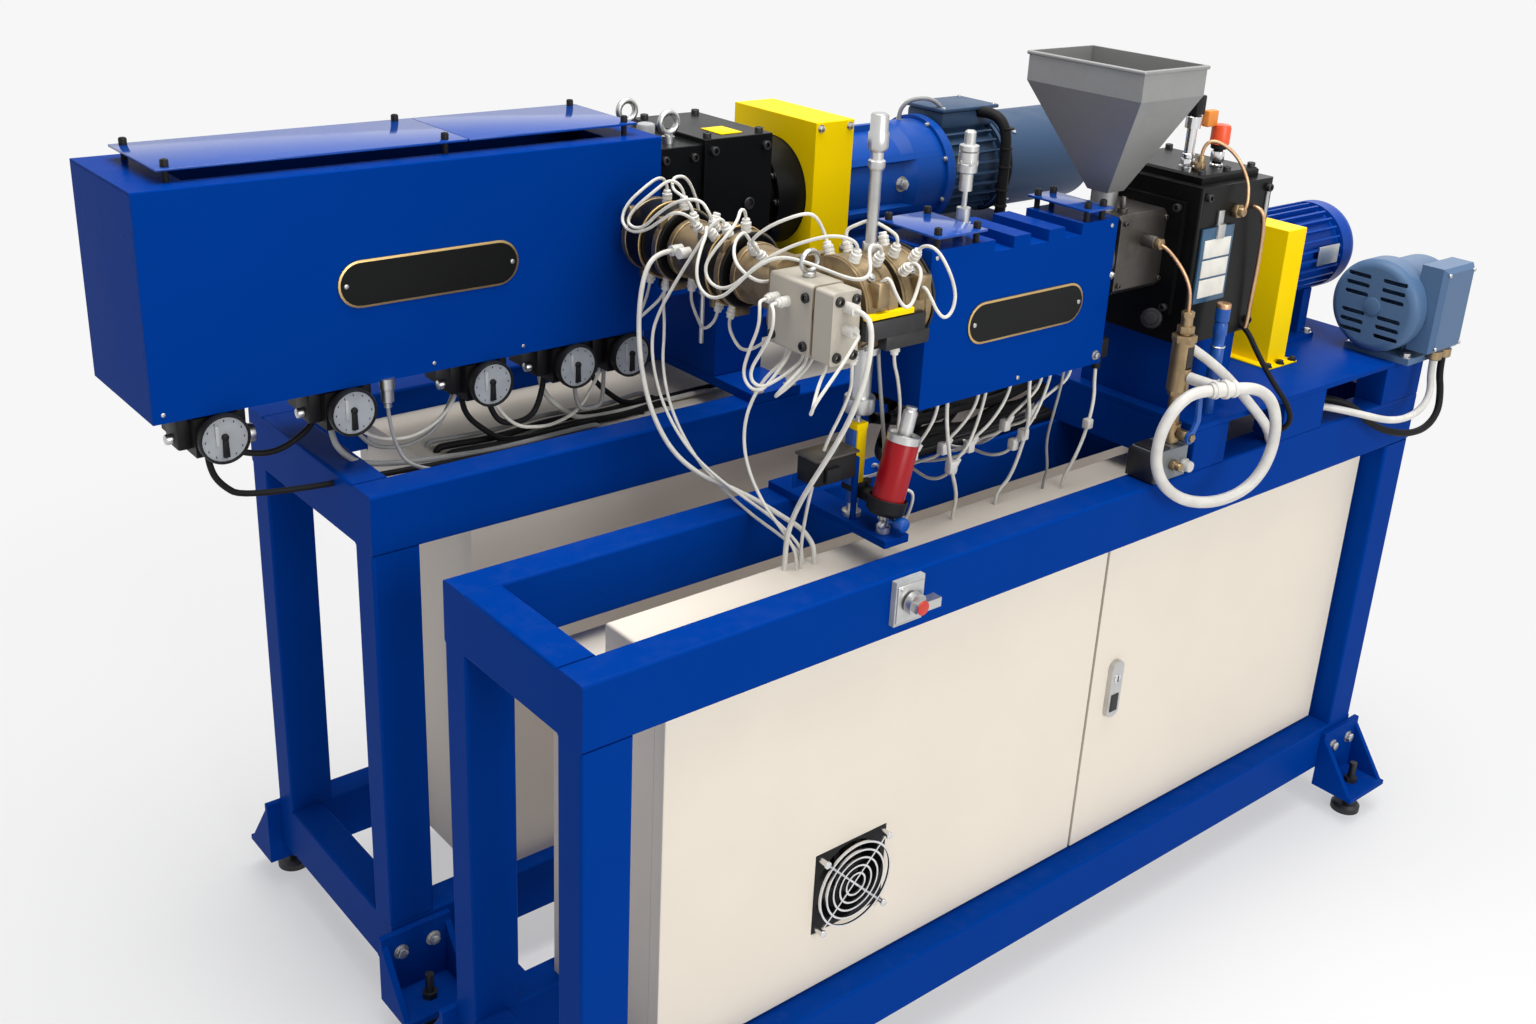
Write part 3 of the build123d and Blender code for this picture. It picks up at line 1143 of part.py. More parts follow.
# Dosing can and barrel support on their cross bar
bar_x = X0 + BAR_X
bar_top = FRONT_TOP + BAR_T
save(
    "cross_bar",
    block(bar_x - BAR_HALF, bar_x + BAR_HALF, Y0 + BAR_Y0, FRONT_Y1 - CLAMP_ROUND, FRONT_TOP, bar_top),
)
can_top = bar_top + CAN_H
can = rod_z(bar_x, Y0 + CAN_Y, bar_top, can_top, CAN_R)
can = fillet(can.edges().group_by(Axis.Z)[-1], CAN_R / 4)
save("grease_can", can + rod_z(bar_x, Y0 + CAN_Y, can_top, can_top + CAN_NECK_H, CAN_NECK_R))
fork_half = FORK_W / 2
fork_top = bar_top + FORK_H
support = block(
    bar_x - fork_half, bar_x + fork_half, FRONT_AXIS - fork_half, FRONT_AXIS + fork_half, bar_top, fork_top
)
support -= block(
    bar_x - fork_half - 1, bar_x + fork_half + 1, FRONT_AXIS - FORK_SLOT / 2, FRONT_AXIS + FORK_SLOT / 2,
    bar_top + BAR_T, fork_top - BAR_T,
)
support_z = fork_top
for step_h, step_r in SUPPORT_STEPS:
    support += rod_z(bar_x, FRONT_AXIS, support_z, support_z + step_h, step_r)
    support_z += step_h
support += rod_z(bar_x, FRONT_AXIS, support_z, AXIS_Z - HEAD_R - SUPPORT_GAP, SUPPORT_PAD_R)
save("barrel_support", support)

for cord_name, cord_points, cord_d in CORDS:
    save(cord_name, cord(cord_name, cord_points, cord_d))
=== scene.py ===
# %% [markdown]
# A tandem laboratory plastic extruder, finished in Blender around its CAD model.
# The CAD model is the fixed frame: it gives every rigid piece its shape and place. This lesson adds
# the studio, the paints and metals, the hoses and leads, and the small fittings that give scale.

from itertools import product
from math import cos, pi, radians, sin

import bmesh
import bpy
from mathutils import Matrix, Vector


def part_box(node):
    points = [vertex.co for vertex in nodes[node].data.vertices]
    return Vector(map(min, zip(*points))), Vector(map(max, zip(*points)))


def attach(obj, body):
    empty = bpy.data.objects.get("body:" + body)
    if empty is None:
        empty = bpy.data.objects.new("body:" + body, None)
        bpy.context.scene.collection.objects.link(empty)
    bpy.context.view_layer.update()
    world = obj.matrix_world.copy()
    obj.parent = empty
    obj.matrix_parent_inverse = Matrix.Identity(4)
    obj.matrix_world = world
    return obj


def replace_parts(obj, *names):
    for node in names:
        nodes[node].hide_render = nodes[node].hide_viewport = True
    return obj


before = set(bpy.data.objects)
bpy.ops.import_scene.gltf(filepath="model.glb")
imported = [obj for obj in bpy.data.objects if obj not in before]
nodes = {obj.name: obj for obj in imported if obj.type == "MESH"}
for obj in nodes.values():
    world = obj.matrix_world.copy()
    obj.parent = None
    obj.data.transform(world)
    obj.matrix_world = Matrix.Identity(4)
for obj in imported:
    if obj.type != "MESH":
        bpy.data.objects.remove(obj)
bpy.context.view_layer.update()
MM = 0.001

# %% [markdown]
# Every size below is in millimetres, counted from the left front top corner of the front frame,
# because that corner is easy to find in the photograph. X runs along the screws to the drives,
# Y away from the viewer and Z up. One matrix then carries a finished mesh into the CAD frame.

# %% The corner that everything is measured from
rail_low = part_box("frame_long_rails")[0]
deck_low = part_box("deck_posts")[0]
CORNER = Vector((rail_low.x, deck_low.y, deck_low.z))
TO_FRAME = Matrix.Translation(CORNER) @ Matrix.Scale(MM, 4)


def spot(x, y, z):
    """A point given in millimetres from the corner, in the CAD frame in metres."""
    return TO_FRAME @ Vector((x, y, z))


print("corner:", tuple(round(v, 4) for v in CORNER))

# %% [markdown]
# The camera stands to the front left, a little above the covers. Its place, turn and focal length
# come from matching straight edges of the two frames; the small upward shift is the photograph's
# own framing. A camera looks along its own -Z, so its axes are written as matrix columns.

# %% Camera
AZIMUTH, ELEVATION, ROLL = radians(-40.449), radians(21.481), radians(2.884)
EYE = spot(-748.4, -1142.0, 817.9)
IMAGE_W, IMAGE_H = 1536, 1024
FOCAL_PX = 1568.2
AXIS_PX_Y = 430
SENSOR = 36.0

back = Vector((sin(AZIMUTH) * cos(ELEVATION), -cos(AZIMUTH) * cos(ELEVATION), sin(ELEVATION)))
level = Vector((cos(AZIMUTH), sin(AZIMUTH), 0))
upright = back.cross(level)
right = cos(ROLL) * level + sin(ROLL) * upright
up = cos(ROLL) * upright - sin(ROLL) * level
camera_data = bpy.data.cameras.new("camera")
camera_data.sensor_width = SENSOR
camera_data.lens = FOCAL_PX * SENSOR / IMAGE_W
camera_data.shift_y = (AXIS_PX_Y - IMAGE_H / 2) / IMAGE_W
camera = bpy.data.objects.new("camera", camera_data)
turn = Matrix((right, up, back)).transposed().to_4x4()
camera.matrix_world = Matrix.Translation(EYE) @ turn
bpy.context.scene.collection.objects.link(camera)
bpy.context.scene.camera = camera
print("lens:", round(camera_data.lens, 2), "mm")

# %% [markdown]
# Shader maths reads best as arithmetic. Flow wraps one socket of a node tree, and each operator on
# it adds a Math node. Finish wraps one material: its node method makes any other node, with the
# node's own settings first and then the values or links of its sockets.


# %% A small kit for materials
class Flow:
    """One socket of a material's node tree."""

    def __init__(self, finish, socket):
        self.finish = finish
        self.socket = socket

    def _math(self, operation, a, b):
        return self.finish.node("ShaderNodeMath", {"operation": operation}, {0: a, 1: b})

    def __add__(self, other):
        return self._math("ADD", self, other)

    __radd__ = __add__

    def __mul__(self, other):
        return self._math("MULTIPLY", self, other)

    __rmul__ = __mul__


class Finish:
    """A procedural material on Object coordinates."""

    def __init__(self, name, roughness=0.4, metallic=0.0, coat=0.0):
        self.material = bpy.data.materials.new(name)
        self.material.use_nodes = True
        self.tree = self.material.node_tree
        self.shader = self.tree.nodes["Principled BSDF"]
        self.shader.inputs["Roughness"].default_value = roughness
        self.shader.inputs["Metallic"].default_value = metallic
        self.shader.inputs["Coat Weight"].default_value = coat
        self.place = self.node("ShaderNodeTexCoord", {}, {}, "Object")

    def node(self, kind, settings, sockets, output=0):
        made = self.tree.nodes.new(kind)
        for key, value in settings.items():
            setattr(made, key, value)
        for key, value in sockets.items():
            if isinstance(value, Flow):
                self.tree.links.new(value.socket, made.inputs[key])
            else:
                made.inputs[key].default_value = value
        return Flow(self, made.outputs[output])

    def noise(self, scale, detail=3.0, rough=0.55, stretch=(1, 1, 1)):
        where = self.node("ShaderNodeMapping", {}, {"Vector": self.place, "Scale": stretch})
        sockets = {"Vector": where, "Scale": scale, "Detail": detail, "Roughness": rough}
        return self.node("ShaderNodeTexNoise", {}, sockets)

    def grade(self, value, low, high, to_low=0.0, to_high=1.0):
        sockets = {
            "Value": value, "From Min": low, "From Max": high, "To Min": to_low, "To Max": to_high,
        }
        return self.node("ShaderNodeMapRange", {"interpolation_type": "SMOOTHSTEP"}, sockets)

    def mix(self, amount, first, second):
        settings = {"data_type": "RGBA"}
        return self.node("ShaderNodeMix", settings, {"Factor": amount, 6: first, 7: second}, 2)

    def upward(self):
        facing = self.node("ShaderNodeNewGeometry", {}, {}, "Normal")
        return self.node("ShaderNodeSeparateXYZ", {}, {"Vector": facing}, "Z")

    def bump(self, height, strength, distance=0.0005):
        sockets = {"Height": height, "Strength": strength, "Distance": distance}
        self.feed({"Normal": self.node("ShaderNodeBump", {}, sockets)})

    def feed(self, sockets):
        for key, value in sockets.items():
            if isinstance(value, Flow):
                self.tree.links.new(value.socket, self.shader.inputs[key])
            else:
                self.shader.inputs[key].default_value = value


def shade(colour, factor):
    """A colour made lighter or darker, with full alpha."""
    return (*[min(1.0, c * factor) for c in colour[:3]], 1.0)


print("material kit ready")

# %% [markdown]
# Machine enamel is sprayed on thick: it is glossy, faintly wavy like orange skin, and dulled in
# patches by hands and dust. One function makes every paint on the machine from its colour, and
# noise of two sizes gives the patches and the orange skin. Dust lies only on faces that look up.


# %% Enamels
DUST = (0.45, 0.46, 0.48, 1.0)


def enamel(name, colour, roughness=0.30, gloss=0.22, dust=0.06):
    paint = Finish(name, roughness)
    paint.feed({"Specular IOR Level": gloss})
    cloudy = paint.noise(5.0, 4.0)
    tone = paint.mix(paint.grade(cloudy, 0.35, 0.68), shade(colour, 0.985), shade(colour, 1.015))
    specks = paint.grade(paint.noise(38.0, 5.0, 0.65), 0.42, 0.75)
    lying = paint.grade(paint.upward(), 0.75, 0.98) * specks * dust
    rub = paint.grade(paint.noise(90.0, 2.0, 0.5, (1, 1, 0.2)), 0.62, 0.80)
    paint.feed({"Base Color": paint.mix(lying, tone, DUST)})
    dull = roughness + 0.06 * paint.grade(cloudy, 0.40, 0.75) + 0.05 * rub + 0.4 * lying
    paint.feed({"Roughness": dull})
    paint.bump(paint.noise(420.0, 1.0), 0.04)
    return paint.material


frame_blue = enamel("frame_blue_enamel", (0.0002, 0.037, 0.262), 0.32, 0.008, 0.012)
cover_blue = enamel("cover_blue_enamel", (0.0002, 0.036, 0.255), 0.26, 0.004, 0.012)
plate_blue = enamel("vent_plate_enamel", (0.0010, 0.055, 0.330), 0.14, 0.40, 0.02)
cream = enamel("cream_enamel", (0.770, 0.700, 0.600), 0.45, 0.12, 0.03)
yellow = enamel("guard_yellow_enamel", (1.0, 0.690, 0.0006), 0.36, 0.06, 0.02)
black_paint = enamel("gearbox_black_enamel", (0.0035, 0.0038, 0.004), 0.34, 0.16, 0.02)
motor_blue = enamel("motor_blue_enamel", (0.0008, 0.045, 0.300), 0.34, 0.1)
reducer_blue = enamel("reducer_blue_enamel", (0.002, 0.060, 0.330), 0.34, 0.16)
grey_blue = enamel("motor_grey_blue_enamel", (0.030, 0.064, 0.128), 0.40, 0.2)
pale_blue = enamel("auxiliary_pale_blue_enamel", (0.074, 0.140, 0.255), 0.38, 0.2)
red_paint = enamel("can_red_enamel", (0.310, 0.005, 0.009), 0.28, 0.25)
plate_grey = enamel("clamp_warm_grey", (0.480, 0.440, 0.370), 0.42, 0.3, 0.03)
print("enamels ready")

# %% [markdown]
# Bare metals need a direction: turned and brushed faces carry fine streaks that widen the highlight.
# Stretching a noise along one axis makes the streaks, and a slower noise makes the stains. Heater
# bands have been hot, so their bronze sheet is browned in clouds.


# %% Metals
def bare_metal(name, colour, roughness, streak=(1, 1, 0.06), stain=0.25, metallic=1.0):
    metal = Finish(name, roughness, metallic)
    lines = metal.noise(900.0, 2.0, 0.6, streak)
    clouds = metal.noise(26.0, 5.0, 0.6)
    tone = metal.mix(metal.grade(clouds, 0.40, 0.72) * stain, shade(colour, 1.0), shade(colour, 0.45))
    metal.feed({"Base Color": tone})
    metal.feed({"Roughness": roughness + 0.12 * lines + 0.10 * metal.grade(clouds, 0.35, 0.75)})
    metal.bump(lines, 0.06, 0.0002)
    return metal.material


steel = bare_metal("turned_steel", (0.56, 0.56, 0.55), 0.28)
stainless = bare_metal("brushed_stainless", (0.30, 0.30, 0.295), 0.34, (0.05, 0.05, 1), 0.12, 0.5)
bronze = bare_metal("heat_browned_bronze", (0.36, 0.27, 0.155), 0.34, (1, 0.1, 1), 1.0)
gilt = bare_metal("gilt_edge", (0.62, 0.43, 0.19), 0.30, (1, 1, 1), 0.3)
feed_steel = bare_metal("oiled_steel", (0.125, 0.115, 0.105), 0.32, (1, 1, 0.1), 0.5)
brass = bare_metal("plain_brass", (0.38, 0.275, 0.155), 0.30, (1, 1, 0.1), 0.5)
block_steel = bare_metal("manifold_steel", (0.20, 0.22, 0.24), 0.36, (1, 1, 0.1), 0.4, 0.5)
chrome = bare_metal("chromed_wire", (0.72, 0.72, 0.73), 0.12, (1, 1, 1), 0.05)
dark_steel = bare_metal("blackened_steel", (0.06, 0.06, 0.062), 0.42, (1, 1, 1), 0.3)
copper = bare_metal("copper_tube", (0.62, 0.38, 0.22), 0.34, (1, 1, 1), 0.5)
print("metals ready")

# %% [markdown]
# Plastics and rubber are dull and even, with a fine moulded grain. The glazed ceramic caps are the
# exception: smooth, with a soft shine and a slightly warm white.


# %% Plastics, rubber and ceramic
def moulded(name, colour, roughness, grain=0.12, coat=0.0, gloss=0.5):
    plastic = Finish(name, roughness, 0.0, coat)
    plastic.feed({"Specular IOR Level": gloss})
    clouds = plastic.noise(30.0, 4.0)
    tone = plastic.mix(plastic.grade(clouds, 0.35, 0.7), shade(colour, 0.9), shade(colour, 1.08))
    plastic.feed({"Base Color": tone})
    plastic.feed({"Roughness": roughness + 0.12 * clouds})
    plastic.bump(plastic.noise(700.0, 1.0), grain, 0.0002)
    return plastic.material


black_plastic = moulded("moulded_black", (0.010, 0.010, 0.011), 0.42, gloss=0.16)
grey_plastic = moulded("grey_plastic", (0.42, 0.43, 0.43), 0.40)
white_sleeve = moulded("white_sleeving", (0.70, 0.68, 0.62), 0.55, 0.25)
white_hose = moulded("white_hose", (0.64, 0.62, 0.58), 0.34, 0.05)
black_rubber = moulded("black_rubber", (0.009, 0.009, 0.010), 0.50, 0.2, gloss=0.14)
grey_rubber = moulded("grey_rubber", (0.30, 0.30, 0.30), 0.45, 0.2)
ceramic = moulded("glazed_ceramic", (0.74, 0.72, 0.67), 0.22, 0.02, 0.3)
red_plastic = moulded("red_plastic", (0.55, 0.03, 0.015), 0.35)
orange_red = moulded("orange_red_plastic", (0.78, 0.075, 0.012), 0.30, 0.04)
orange_plastic = moulded("orange_plastic", (0.80, 0.25, 0.03), 0.38)
blue_plastic = moulded("blue_plastic", (0.004, 0.075, 0.360), 0.32)
pouch_blue = moulded("pouch_blue", (0.030, 0.090, 0.170), 0.25, 0.02)
dial_face = moulded("dial_face", (0.33, 0.35, 0.37), 0.35, 0.02)
print("plastics ready")

# %% [markdown]
# Each CAD piece keeps its mesh and takes a finish. A weld and a small bevel go on as modifiers, so
# that sheet and casting edges catch a line of light as real ones do; the meshes stay untouched.

# %% Finishes on the CAD pieces
FINISHES = (
    (frame_blue, (
        "frame_legs frame_long_rails frame_end_rails frame_link_bars foot_brackets deck_plate "
        "deck_posts cross_bar rear_pedestal_plate rear_pedestal_posts drive_stands"
    )),
    (cover_blue, "front_barrel_guard rear_barrel_guard guard_vent_plates"),
    (cream, "cabinet_door front_fixed_panel front_cabinet_walls front_cabinet_duct rear_cabinet"),
    (steel, (
        "barrel_support pressure_sensors lifting_eyes door_hinge_pins main_switch_handle "
        "door_lock_handle"
    )),
    (yellow, "coupling_guards"),
    (black_paint, "front_gearbox rear_gearbox gearbox_lid coupling_bell melt_pipe"),
    (black_plastic, "cooling_actuators fan_housing fan_rotor"),
    (reducer_blue, "rear_reducer"),
    (motor_blue, "front_motor"),
    (pale_blue, "auxiliary_motor auxiliary_terminal_box"),
    (grey_blue, "rear_motor rear_motor_cowl"),
    (bronze, "adapter_block heater_bands"),
    (dark_steel, "barrels levelling_feet"),
    (feed_steel, "feed_block"),
    (block_steel, "water_manifold"),
    (stainless, "hopper"),
    (plate_grey, "adapter_heater_plates"),
    (ceramic, "terminal_caps"),
    (brass, "strainer_column"),
    (red_paint, "grease_can"),
    (chrome, "fan_finger_guard"),
    (grey_plastic, "main_switch_plate"),
    (white_hose, "hose_tee"),
    (blue_plastic, "water_valve_lever"),
)
SOFT_EDGE, WELD_GAP = 0.0011, 0.00002
SHARP = radians(38)
FOLDED = (
    "frame_legs frame_long_rails frame_end_rails foot_brackets deck_plate deck_posts "
    "rear_pedestal_plate rear_pedestal_posts front_barrel_guard guard_vent_plates cabinet_door "
    "front_fixed_panel rear_cabinet coupling_guards rear_gearbox front_gearbox feed_block "
    "adapter_heater_plates water_manifold main_switch_plate door_lock_handle cross_bar "
    "auxiliary_terminal_box"
).split()
for finish, names in FINISHES:
    for name in names.split():
        nodes[name].data.materials.clear()
        nodes[name].data.materials.append(finish)
for name in FOLDED:
    nodes[name].modifiers.new("weld", "WELD").merge_threshold = WELD_GAP
    edge = nodes[name].modifiers.new("soft_edge", "BEVEL")
    edge.width = SOFT_EDGE
    edge.segments = 2
    edge.limit_method = "ANGLE"
    edge.angle_limit = SHARP
print("finishes on CAD pieces:", len(FINISHES), "pieces with soft edges:", len(FOLDED))

# %% [markdown]
# Every added piece takes its finish directly, as the one material of its own mesh or curve.

# %% [markdown]
# The hoses and leads are round and limp, so each is a NURBS curve through a few points, the same
# points that the CAD tubes use. With an end-point spline of order three the line starts and
# ends exactly in its fitting and runs smoothly between.


# %% Hoses and leads that have CAD tubes
def lead(name, points, diameter, finish, replaced=None):
    curve = bpy.data.curves.new(name, "CURVE")
    curve.dimensions = "3D"
    curve.bevel_depth = diameter * MM / 2
    curve.bevel_resolution = 3
    curve.resolution_u = 8
    line = curve.splines.new("NURBS")
    line.points.add(len(points) - 1)
    for control, point in zip(line.points, points):
        control.co = (*spot(*point), 1.0)
    line.order_u = 3
    line.use_endpoint_u = True
    curve.materials.append(finish)
    piece = bpy.data.objects.new(name, curve)
    bpy.context.scene.collection.objects.link(piece)
    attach(piece, "machine")
    if replaced:
        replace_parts(piece, replaced)
    return piece


HOSE = (
    (988, -52, 140), (1007, -59, 140), (1030, -67.5, 132), (1047, -73.5, 114), (1057, -77.5, 86),
    (1058, -78, 50), (1048, -74, 14), (1024, -65.5, -12), (984, -51, -24), (940, -34.5, -18),
    (904, -21.5, 6), (885, -15, 42), (885, -15.5, 82), (896, -19.5, 112), (912, -25, 131),
    (931, -31, 140), (950, -38, 140),
)
WHITE_LEAD = (
    (1556, -31, 72), (1556, -31, 48), (1556, -38, 20), (1532, -42, -2), (1484, -43, -9),
    (1434, -39, -3), (1388, -23, 11), (1352, 4, 20), (1330, 22, 23), (1312, 22, 23),
)
BLACK_LEAD = (
    (1584, -31, 72), (1584, -31, 46), (1592, -36, 14), (1582, -44, -18), (1544, -48, -36),
    (1496, -44, -37), (1452, -30, -27), (1420, -14, -9), (1396, -9, 12), (1374, 6, 26),
    (1348, 32, 29), (1330, 44, 29), (1312, 44, 29),
)
LONG_LEAD = (
    (391.7, 400, 300), (368, 400, 300), (351, 401, 276), (344, 402, 222), (345, 396, 156),
    (352, 380, 96), (364, 350, 50), (382, 312, 27), (398, 270, 22), (408, 226, 17), (415, 186, 9),
    (420, 156, 4), (422, 138, -8), (422, 132, -20), (422, 132, -35),
)
PLATE_LEAD = (
    (409, 74, 306), (409, 56, 306), (408, 45, 288), (404, 43, 250), (398, 51, 204), (391, 70, 154),
    (384, 96, 104), (381, 122, 56), (380, 136, 16), (380, 138, -12), (380, 138, -35),
)
lead("hose_loop", HOSE, 16, white_hose, "coolant_hose")
lead("motor_cable_white", WHITE_LEAD, 11, white_hose, "motor_lead_white")
lead("motor_cable_black", BLACK_LEAD, 11, black_rubber, "motor_lead_black")
lead("heater_wire_long", LONG_LEAD, 6.4, white_sleeve, replaced="heater_lead_long")
lead("heater_wire_plate", PLATE_LEAD, 6.4, white_sleeve, replaced="heater_lead_plate")

# %% [markdown]
# Small fittings are meshes built from three kinds of part: slabs with softened edges, prisms over an
# outline, and turned shapes that spin a half profile round an axis. A Piece gathers parts in
# millimetres from the corner, and then becomes one object in the CAD frame that rides on a body.


# %% A small kit for fittings
LEFT, RIGHT, FRONT, REAR = (-1, 0, 0), (1, 0, 0), (0, -1, 0), (0, 1, 0)
UP, DOWN = (0, 0, 1), (0, 0, -1)


def ring(count, radius):
    """The corners of a regular outline."""
    turns = [2 * pi * i / count for i in range(count)]
    return [(radius * cos(turn), radius * sin(turn)) for turn in turns]


class Piece:
    """One mesh gathered from simple parts, in millimetres from the corner."""

    def __init__(self):
        self.mesh = bmesh.new()
        self.scratch = bpy.data.meshes.new("scratch")

    def _add(self, part, at, axis, edge):
        bmesh.ops.remove_doubles(part, verts=part.verts, dist=0.001)
        bmesh.ops.recalc_face_normals(part, faces=part.faces)
        if edge:
            bmesh.ops.bevel(
                part, geom=part.edges[:], offset=edge, affect="EDGES",
                segments=2, profile=0.5, material=-1,
            )
        turn = Vector((0, 0, 1)).rotation_difference(Vector(axis)).to_matrix().to_4x4()
        part.transform(Matrix.Translation(Vector(at)) @ turn)
        part.to_mesh(self.scratch)
        self.mesh.from_mesh(self.scratch)
        part.free()
        return self

    def slab(self, low, high, edge=0.0):
        part = bmesh.new()
        bmesh.ops.create_cube(part, size=1.0)
        size = Vector(high) - Vector(low)
        bmesh.ops.scale(part, vec=size, verts=part.verts)
        return self._add(part, (Vector(low) + Vector(high)) / 2, UP, edge)

    def prism(self, at, axis, outline, depth, edge=0.0):
        part = bmesh.new()
        face = part.faces.new([part.verts.new((x, y, 0)) for x, y in outline])
        grown = bmesh.ops.extrude_face_region(part, geom=[face])["geom"]
        tops = [item for item in grown if isinstance(item, bmesh.types.BMVert)]
        bmesh.ops.translate(part, vec=(0, 0, depth), verts=tops)
        return self._add(part, at, axis, edge)

    def turned(self, at, axis, profile, steps=24):
        part = bmesh.new()
        line = [part.verts.new((radius, 0, height)) for radius, height in profile]
        edges = [part.edges.new(pair) for pair in zip(line, line[1:])]
        bmesh.ops.spin(
            part, geom=line + edges, cent=(0, 0, 0), axis=UP, angle=2 * pi, steps=steps, use_merge=True
        )
        return self._add(part, at, axis, 0.0)

    def collar(self, at, axis, inner, outer, depth, steps=36):
        soft = min(1.0, depth / 4, (outer - inner) / 3)
        return self.turned(at, axis, [
            (inner, 0), (outer - soft, 0), (outer, soft), (outer, depth - soft), (outer - soft, depth),
            (inner, depth), (inner, 0),
        ], steps)

    def knob(self, at, axis, radius, depth):
        soft = min(radius, depth) * 0.3
        return self.turned(at, axis, [
            (0, depth), (radius - soft, depth), (radius - soft * 0.3, depth - soft * 0.3),
            (radius, depth - soft), (radius, 0), (0, 0),
        ])

    def hex_bolt(self, at, axis, radius):
        self.turned(at, axis, [(0, 1.2), (radius * 1.35, 1.2), (radius * 1.35, 0)], 20)
        return self.prism(at, axis, ring(6, radius), radius * 0.9 + 1.2, radius * 0.08)

    def socket_bolt(self, at, axis, radius):
        top = radius * 1.1
        return self.turned(at, axis, [
            (0, top * 0.35), (radius * 0.5, top * 0.35), (radius * 0.55, top), (radius * 0.88, top),
            (radius, top * 0.88), (radius, 0),
        ], 16)

    def rows(self, bolt, xs, ys, zs, axis, *sizes):
        """The same bolt at every crossing of the given places."""
        for at in product(xs, ys, zs):
            bolt(self, at, axis, *sizes)
        return self

    def done(self, name, finish, body="machine"):
        self.mesh.transform(TO_FRAME)
        data = bpy.data.meshes.new(name)
        self.mesh.to_mesh(data)
        self.mesh.free()
        bpy.data.meshes.remove(self.scratch)
        data.shade_smooth()
        data.set_sharp_from_angle(angle=SHARP)
        data.materials.append(finish)
        piece = bpy.data.objects.new(name, data)
        bpy.context.scene.collection.objects.link(piece)
        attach(piece, body)
        print(name, len(data.polygons), "faces")
        return piece


print("fitting kit ready")

# %% [markdown]
# The two covers carry plain long plates with round ends and a gilt edge, and small screws. Black posts
# hold the vent plates above the covers, so that hot air leaves under them.


# %% Fittings on the two covers
def pill(half_long, half_tall, steps=14):
    """The corners of a plate with two round ends."""
    ends = ((half_long - half_tall, -pi / 2), (half_tall - half_long, pi / 2))
    turns = [pi * i / steps for i in range(steps + 1)]
    return [(x + half_tall * cos(a + t), half_tall * sin(a + t)) for x, a in ends for t in turns]


REAR_FACE, FRONT_FACE = 545.5, 95.0
gilt_edges, long_plates, heads = Piece(), Piece(), Piece()
for x, y, z, wide, tall in ((134, REAR_FACE, 272, 123, 29.5), (722.5, FRONT_FACE, 248, 107, 27)):
    gilt_edges.prism((x, y + 0.1, z), FRONT, pill(wide, tall), 2.4, 0.4)
    long_plates.prism((x, y + 0.1, z), FRONT, pill(wide - 3, tall - 3), 3.0)
    for side in (-1, 1):
        heads.knob((x + side * (wide - 10), y - 2.6, z), FRONT, 3.0, 1.8)
gilt_edges.done("long_plate_edges", gilt)
long_plates.done("long_plates", black_paint)
heads.rows(Piece.knob, (-205, 134, 263), (REAR_FACE,), (155,), FRONT, 2.6, 1.6)
for x, z in ((552, 342), (719, 162), (872, 342)):
    heads.knob((x, FRONT_FACE, z), FRONT, 2.8, 1.8)
heads.hex_bolt((872, FRONT_FACE, 165), FRONT, 5.0)
heads.done("cover_screws", steel)
plates, posts = Piece(), Piece()
for x0, x1, y0, y1, top in (
    (-180, 203, 569, 721, 427), (204, 455, 569, 721, 427), (548, 632, 91, 195, 368),
    (818, 866, 91, 195, 368),
):
    plates.slab((x0, y0, top - 3), (x1, y1, top), 0.6)
POST = [
    (0, 0), (3.8, 0), (3.8, 17), (4.8, 17), (4.8, 24), (3.8, 25.5), (1.8, 25.5), (1.8, 22), (0, 22),
]
posts.rows(Piece.turned, (-166, 176, 441), (579, 711), (410,), UP, POST, 16)
posts.rows(Piece.turned, (557, 623, 827, 857), (101, 185), (351,), UP, POST, 16)
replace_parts(plates.done("vent_plates", plate_blue), "guard_vent_plates")
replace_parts(posts.done("vent_plate_posts", black_plastic), "guard_vent_plates")

# %% [markdown]
# Under the rear cover hang five cooling valves. Each has a round dial with a black bezel, a pale face
# with short ticks, and a dark pointer that hangs down. Between the valves hang a steel connector and
# the pipe fittings.

# %% Valve dials
VALVES_X = (-141, 19, 211, 341, 429)
TICKS = 12
POINTER = [(-3.0, 2), (-4.0, -25), (4.0, -25), (3.0, 2)]
bezels, faces, ticks, sockets, strips = Piece(), Piece(), Piece(), Piece(), Piece()
for x in VALVES_X:
    centre = Vector((x, 540, 115))
    bezels.turned(centre + Vector((0, 3, 0)), FRONT, [
        (0, 0), (29.5, 0), (30.5, 2), (30.5, 9), (29.5, 11), (28, 11), (27, 9), (27, 7), (0, 7),
    ], 48)
    faces.turned(centre, FRONT, [(0, 5.0), (27.2, 5.0), (27.2, 4.0)], 48)
    for i in range(TICKS):
        turn = 2 * pi * i / TICKS
        at = centre + 23.0 * Vector((sin(turn), 0, cos(turn)))
        ticks.slab(at - Vector((0.5, 5.4, 1.2)), at + Vector((0.5, -4.6, 1.2)))
    ticks.knob(centre + Vector((0, -4.8, 3)), FRONT, 4.2, 4.0)
    ticks.prism(centre + Vector((0, -5, 3)), FRONT, POINTER, 3.0, 0.6)
    strips.prism(centre + Vector((-9, -5, 0)), FRONT, [(-2, 18), (-2, -7), (2, -7), (2, 18)], 1.4, 0.3)
    ticks.slab((x - 44, 566, 98), (x - 27, 606, 138), 3)
    ticks.slab((x + 23, 560, 112), (x + 36, 640, 146), 2)
    sockets.knob((x - 43, 586, 108), LEFT, 6.5, 9.0)
sockets.turned((70, 548, 108), UP, [
    (0, 0), (5, 0), (5, 6), (8, 8), (8, 24), (9.5, 25), (9.5, 39), (0, 39),
])
